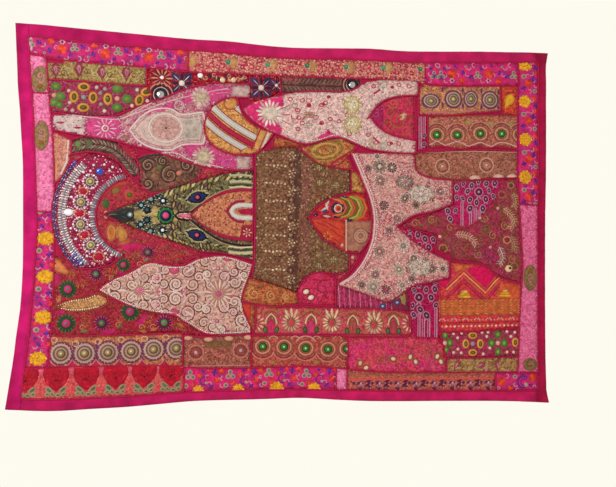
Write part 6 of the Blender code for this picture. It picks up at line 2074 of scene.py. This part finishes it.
for x, z, radius, ring, heart in ((562, -503, 14, "#8A6A44", "#5E7A34"),
        (628, -532, 11, "#D8A074", "#A81838"), (434, -560, 12, "#B8A050", "#7A4A30"),
        (509, -564, 10, "#A85040", "#C02840"), (650, -610, 12, "#A8803C", "#5E5A2C"),
        (612, -400, 11, "#A07848", "#8A2444"), (640, -372, 9, "#B8905C", "#3E5A30")):
    work.ring((x, z), (radius, radius * 0.9), 4, ring, 1.5)
    work.sew(DOME, (x, z), radius * 0.5, 0, heart, 1.8)
work.sew(DOME, (633, -615), (12, 11), 0, "#F0DCAC", 1.8)
work.sew(DOME, (636, -614), (6, 5), 0, "#4A3A24", 2.8)
work.sew(DOME, [(424, -526), (577, -554), (545, -470), (600, -440)], (5.5, 5), 0, "#E0B49C #E8B0A8", 1.8)
for x, z, turn in ((585, -520, 100), (540, -575, 160), (455, -500, 20), (645, -590, 90), (560, -470, 200),
        (350, -490, 0), (400, -480, 60), (622, -492, 120)):
    work.line(scroll((x, z), 13, 1.3, turn, 16), 3.6, "#B88C54", 1.2)
    work.sew(LEAF, (x + 8, z - 4), (20, 8), turn, ["#7E7A38", "#C05C58"][int(x) % 2], 1.3)
work.finish_off()

work = cut("purple_flowers_upper", [(466, -366), (540, -361), (618, -356), (616, -380), (590, -425),
    (560, -462), (505, -502), (460, -492), (402, -462), (428, -448), (462, -436)], purple_flowered,
    level=2.3, wash=0.85, shade=1.16, sharp=40)
purple_buds(work, ((494, -372, 6), (519, -376, 7), (540, -364, 6), (564, -369, 7), (590, -367, 8),
    (507, -393, 7), (541, -394, 12), (572, -389, 6), (585, -405, 6), (492, -414, 6), (514, -417, 7),
    (534, -425, 7), (562, -414, 8), (514, -443, 8), (553, -442, 8), (447, -452, 7), (470, -450, 6),
    (454, -474, 7), (474, -384, 7), (474, -412, 6)), ((490, -424, -494), (516, -452, -498),
    (530, -440, -480), (542, -446, -474)))
work.finish_off()

work = cut("purple_flowers_notch", [(298, -502), (345, -510), (412, -524), (412, -575), (380, -568),
    (340, -548)], purple_flowered, level=2.3, wash=1.3, shade=1.2, sharp=40)
purple_buds(work, ((332, -531, 8), (358, -522, 8), (379, -534, 8), (403, -535, 7), (362, -552, 7),
    (390, -558, 8), (334, -510, 6), (316, -518, 5)))
work.finish_off()


# Chevron patch
# Orange cloth worked with a yellow zigzag over hot pink, two small gold pyramids, a gold basket band and
# two rows of pale tufts. Purple, petalled and olive borders fill in beside and below it.
chevron_cloth = brocade("orange chevron cloth", "#CC4440", "#D03064", "#D86C48", 18, cut=0.5, lines=0.35)
work = cut("chevron_patch", [(455, -600), (500, -604), (560, -610), (602, -640), (668, -660), (672, -780),
    (600, -790), (520, -797), (424, -798), (420, -720), (418, -650), (452, -646)], chevron_cloth, wash=0.95,
    shade=1.06, sharp=40)
work.ground("#E06048 #C02C50 #D8583C #C83464", 0.6, 8, (9, 3), turn=0)
worked(work, [(514, -604), (578, -612), (592, -650), (562, -678), (526, -648), (508, -628)], "#DC0858",
    "#E82870 #C00848", 0.9, turn=40)
worked(work, [(412, -640), (450, -648), (466, -656), (442, -676), (412, -656)], "#DC0858",
    "#E82870 #C00848", 0.9)
worked(work, [(604, -652), (668, -664), (670, -705), (590, -705)], "#DC6038", "#E8784C #C84838", 0.7)
worked(work, [(462, -602), (545, -606), (538, -620), (505, -616), (470, -630)], "#D8703C",
    "#E88C54 #B8483C", 0.9)
for shift, thread, width in ((0, "#F8B868", 6), (-11, "#E07840", 4), (-19, "#D02860", 5),
        (-27, "#A81840", 4), (11, "#E88048", 4)):
    work.line([(405, -648 + shift), (443, -679 + shift), (496, -630 + shift), (562, -686 + shift),
        (592, -652 + shift), (606, -640 + shift)], width, thread, 1.6)
for x, z in ((498, -693), (621, -689)):
    for step, wide in enumerate((20, 15, 9)):
        work.fill([(x - wide, z - 9 + 7 * step), (x + wide, z - 9 + 7 * step), (x + wide, z - 1 + 7 * step),
            (x - wide, z - 1 + 7 * step)], ["#F8C82C", "#ECB828", "#FFE070"][step], 1.9, 4)
work.fill([(415, -706), (672, -700), (672, -750), (415, -755)], "#C86434", 0.9)
for row, thread in enumerate(("#E0904C", "#C0602C", "#E89C54", "#C86834", "#DC8848", "#B85C30")):
    z = -711 - 7.5 * row
    work.row([(416, z), (672, z + 5)], 12.5, STITCH, (14, 6), [thread, "#F0AC60"], 1.6,
        turn=[24, -24][row % 2])
for z, pitch, wide, tuft in ((-764, 35, 9, "#F8B890"), (-784, 12.5, 3.4, "#F4A468")):
    for k, x in enumerate(np.arange(432, 672, pitch)):
        high = z + (x - 430) * 0.02
        if wide > 5:
            work.line([(x - wide, high - 4), (x - wide / 3, high + 3), (x, high - 2),
                (x + wide / 3, high + 3), (x + wide, high - 4)], 4.4, tuft, 1.8)
            work.sew(DOME, (x + pitch / 2, high - 2), (4, 4), 0, "#E87C50", 1.6)
        else:
            work.sew(DOME, (x, high), (4, 3.6), 0, [tuft, "#FCD8B8"][k % 2], 1.9)
work.line([(420, -774), (672, -769)], 3, "#A81838", 1.2)
work.finish_off()

work = cut("purple_flowers_lower", [(336, -668), (375, -660), (421, -656), (424, -740), (427, -814),
    (380, -816), (342, -814), (338, -740)], purple_flowered, wash=1.15, shade=1.06)
purple_buds(work, ((362, -666, 6), (383, -679, 7), (409, -677, 8), (362, -701, 12), (398, -701, 8),
    (343, -724, 7), (366, -735, 8), (413, -722, 7), (385, -752, 9), (347, -750, 7), (347, -680, 6),
    (410, -658, 5)), ((363, -745, -816), (376, -762, -816), (392, -762, -816), (413, -732, -816)))
work.finish_off()

work = cut("petalled_border_right", [(431, -802), (520, -800), (600, -796), (662, -792), (664, -830),
    (662, -868), (560, -870), (446, -872), (438, -840)], plum_silk, wash=1.25, shade=1.02)
work.ground("#C05C7C #8A6650 #983858 #B0806C #6A6A44", 0.7, 8)
# Green domes, each with a smaller, lighter green dome in its middle as a painted highlight.
for x, z, wide, high in ((600, -806, 11, 12), (600, -856, 11, 12), (581, -831, 12, 13), (619, -831, 12, 13),
        (441, -808, 10, 12), (455, -830, 11, 13), (444, -850, 9, 10)):
    work.sew(DOME, (x, z), (wide, high), 0, "#3E8A34", 1.4)
    work.sew(DOME, (x, z), (wide * 0.55, high * 0.6), 0, "#8AB440", 2.2)
for x, z, turn in ((523, -809, 0), (502, -833, 90), (546, -833, 90), (523, -858, 0), (653, -829, 90)):
    ringed_eye(work, (x, z), 14, 10.5, turn, "#E0A848", "#7C8A24", "#5C6A1C")
work.sew(DOME, [(440, -831), (600, -831)], (7, 7), 0, "#ECBCA8", 2.4)
work.sew(DOME, (523, -833), (7, 7), 0, "#9CA4A4", 2.4)
for x, z in ((466, -804), (490, -802), (552, -800), (570, -799), (628, -798), (652, -800), (466, -858),
        (489, -859), (555, -862), (575, -845), (628, -857), (648, -857), (478, -816), (566, -812),
        (640, -812), (479, -848)):
    work.sew(DOME, (x, z), 4.8, 0, "#F0DCC4", 1.8)
work.finish_off()

work = cut("olive_border_right", [(447, -876), (560, -875), (658, -873), (660, -917), (560, -916),
    (449, -914)], olive_silk, wash=1.15)
work.ground("#8A7E48 #CCC888 #A8A058 #A0744C", 0.7, 8, (9, 3), turn=35)
for x, z, turn in ((474, -900, 60), (540, -896, 30), (608, -904, 100), (578, -888, 240), (642, -892, 250)):
    work.sew(TEAR, (x - 8, z - 8), (34, 20), turn, "#A84858", 1.1)
    work.sew(TEAR, (x - 6, z - 5), (24, 10), turn, "#D8948C", 1.7)
    work.line(scroll((x + 18, z + 4), 8, 1.1, turn, 12), 2.6, "#7C6A38", 1.2)
work.finish_off()


# Couched cords
# A crimson cotton cord is laid over every join and caught down with thread, so the raw edges of the
# cuts beneath it don't show. Where two patches share an edge they share its cord.
def lone_runs(path, laid, near=4.6):
    """The stretches of a closed path that no cord covers yet, each with a spot to spare at its ends."""
    bare = from_rim(laid, path) > near if len(laid) else np.full(len(path), True)
    if bare.all():
        return [(path, True)]
    first = int(np.argmin(bare))
    path, bare = np.roll(path, -first, 0), np.roll(bare, -first)
    stretches, start = [], None
    for k in range(len(path) + 1):
        on = k < len(path) and bare[k]
        if on and start is None:
            start = k
        if not on and start is not None:
            stretch = path[max(start - 1, 0) : k + 1]
            if len(stretch) > 2:
                stretches.append((stretch, False))
            start = None
    return stretches


cord_cotton = thread_like("twisted crimson cord", 0.7, grain=0.3, ply=2.6, gloss=0.2)
cord_chance = np.random.default_rng(77)
# How high a cord stands, how far it sinks between the cuts and how far it sways, in millimetres
CORD_RISE, CORD_SUNK, CORD_SWAY = 2.3, 0.7, 0.25
laid, parts, first = np.empty((0, 2)), [], 0
for outline, level, width, dye in cords:
    path = even(outline, 4.5)
    for stretch, whole in lone_runs(path, laid):
        sway = cord_chance.uniform(-CORD_SWAY, CORD_SWAY, stretch.shape)
        spots, rises, faces, runs = ribbon(stretch + sway, width / 2, CORD_RISE, whole, across=5)
        places = hang(*spots.T, level - CORD_SUNK + rises)
        # Painted shade: each cord darkens to a dark crimson along its flanks.
        colour = with_painted_shade(np.array(linear(dye)), (1 - PAINTED_DIVE_SHADE * (1 - rises / rises.max()))[:, None])
        parts.append((places, faces + first, colour, runs))
        first += len(spots)
    laid = np.vstack([laid, path])
make_piece("couched_cords", np.vstack([p[0] for p in parts]), np.vstack([p[1] for p in parts]),
    [cord_cotton], np.vstack([p[2] for p in parts]), np.vstack([p[3] for p in parts]), slot="patch_cloth")
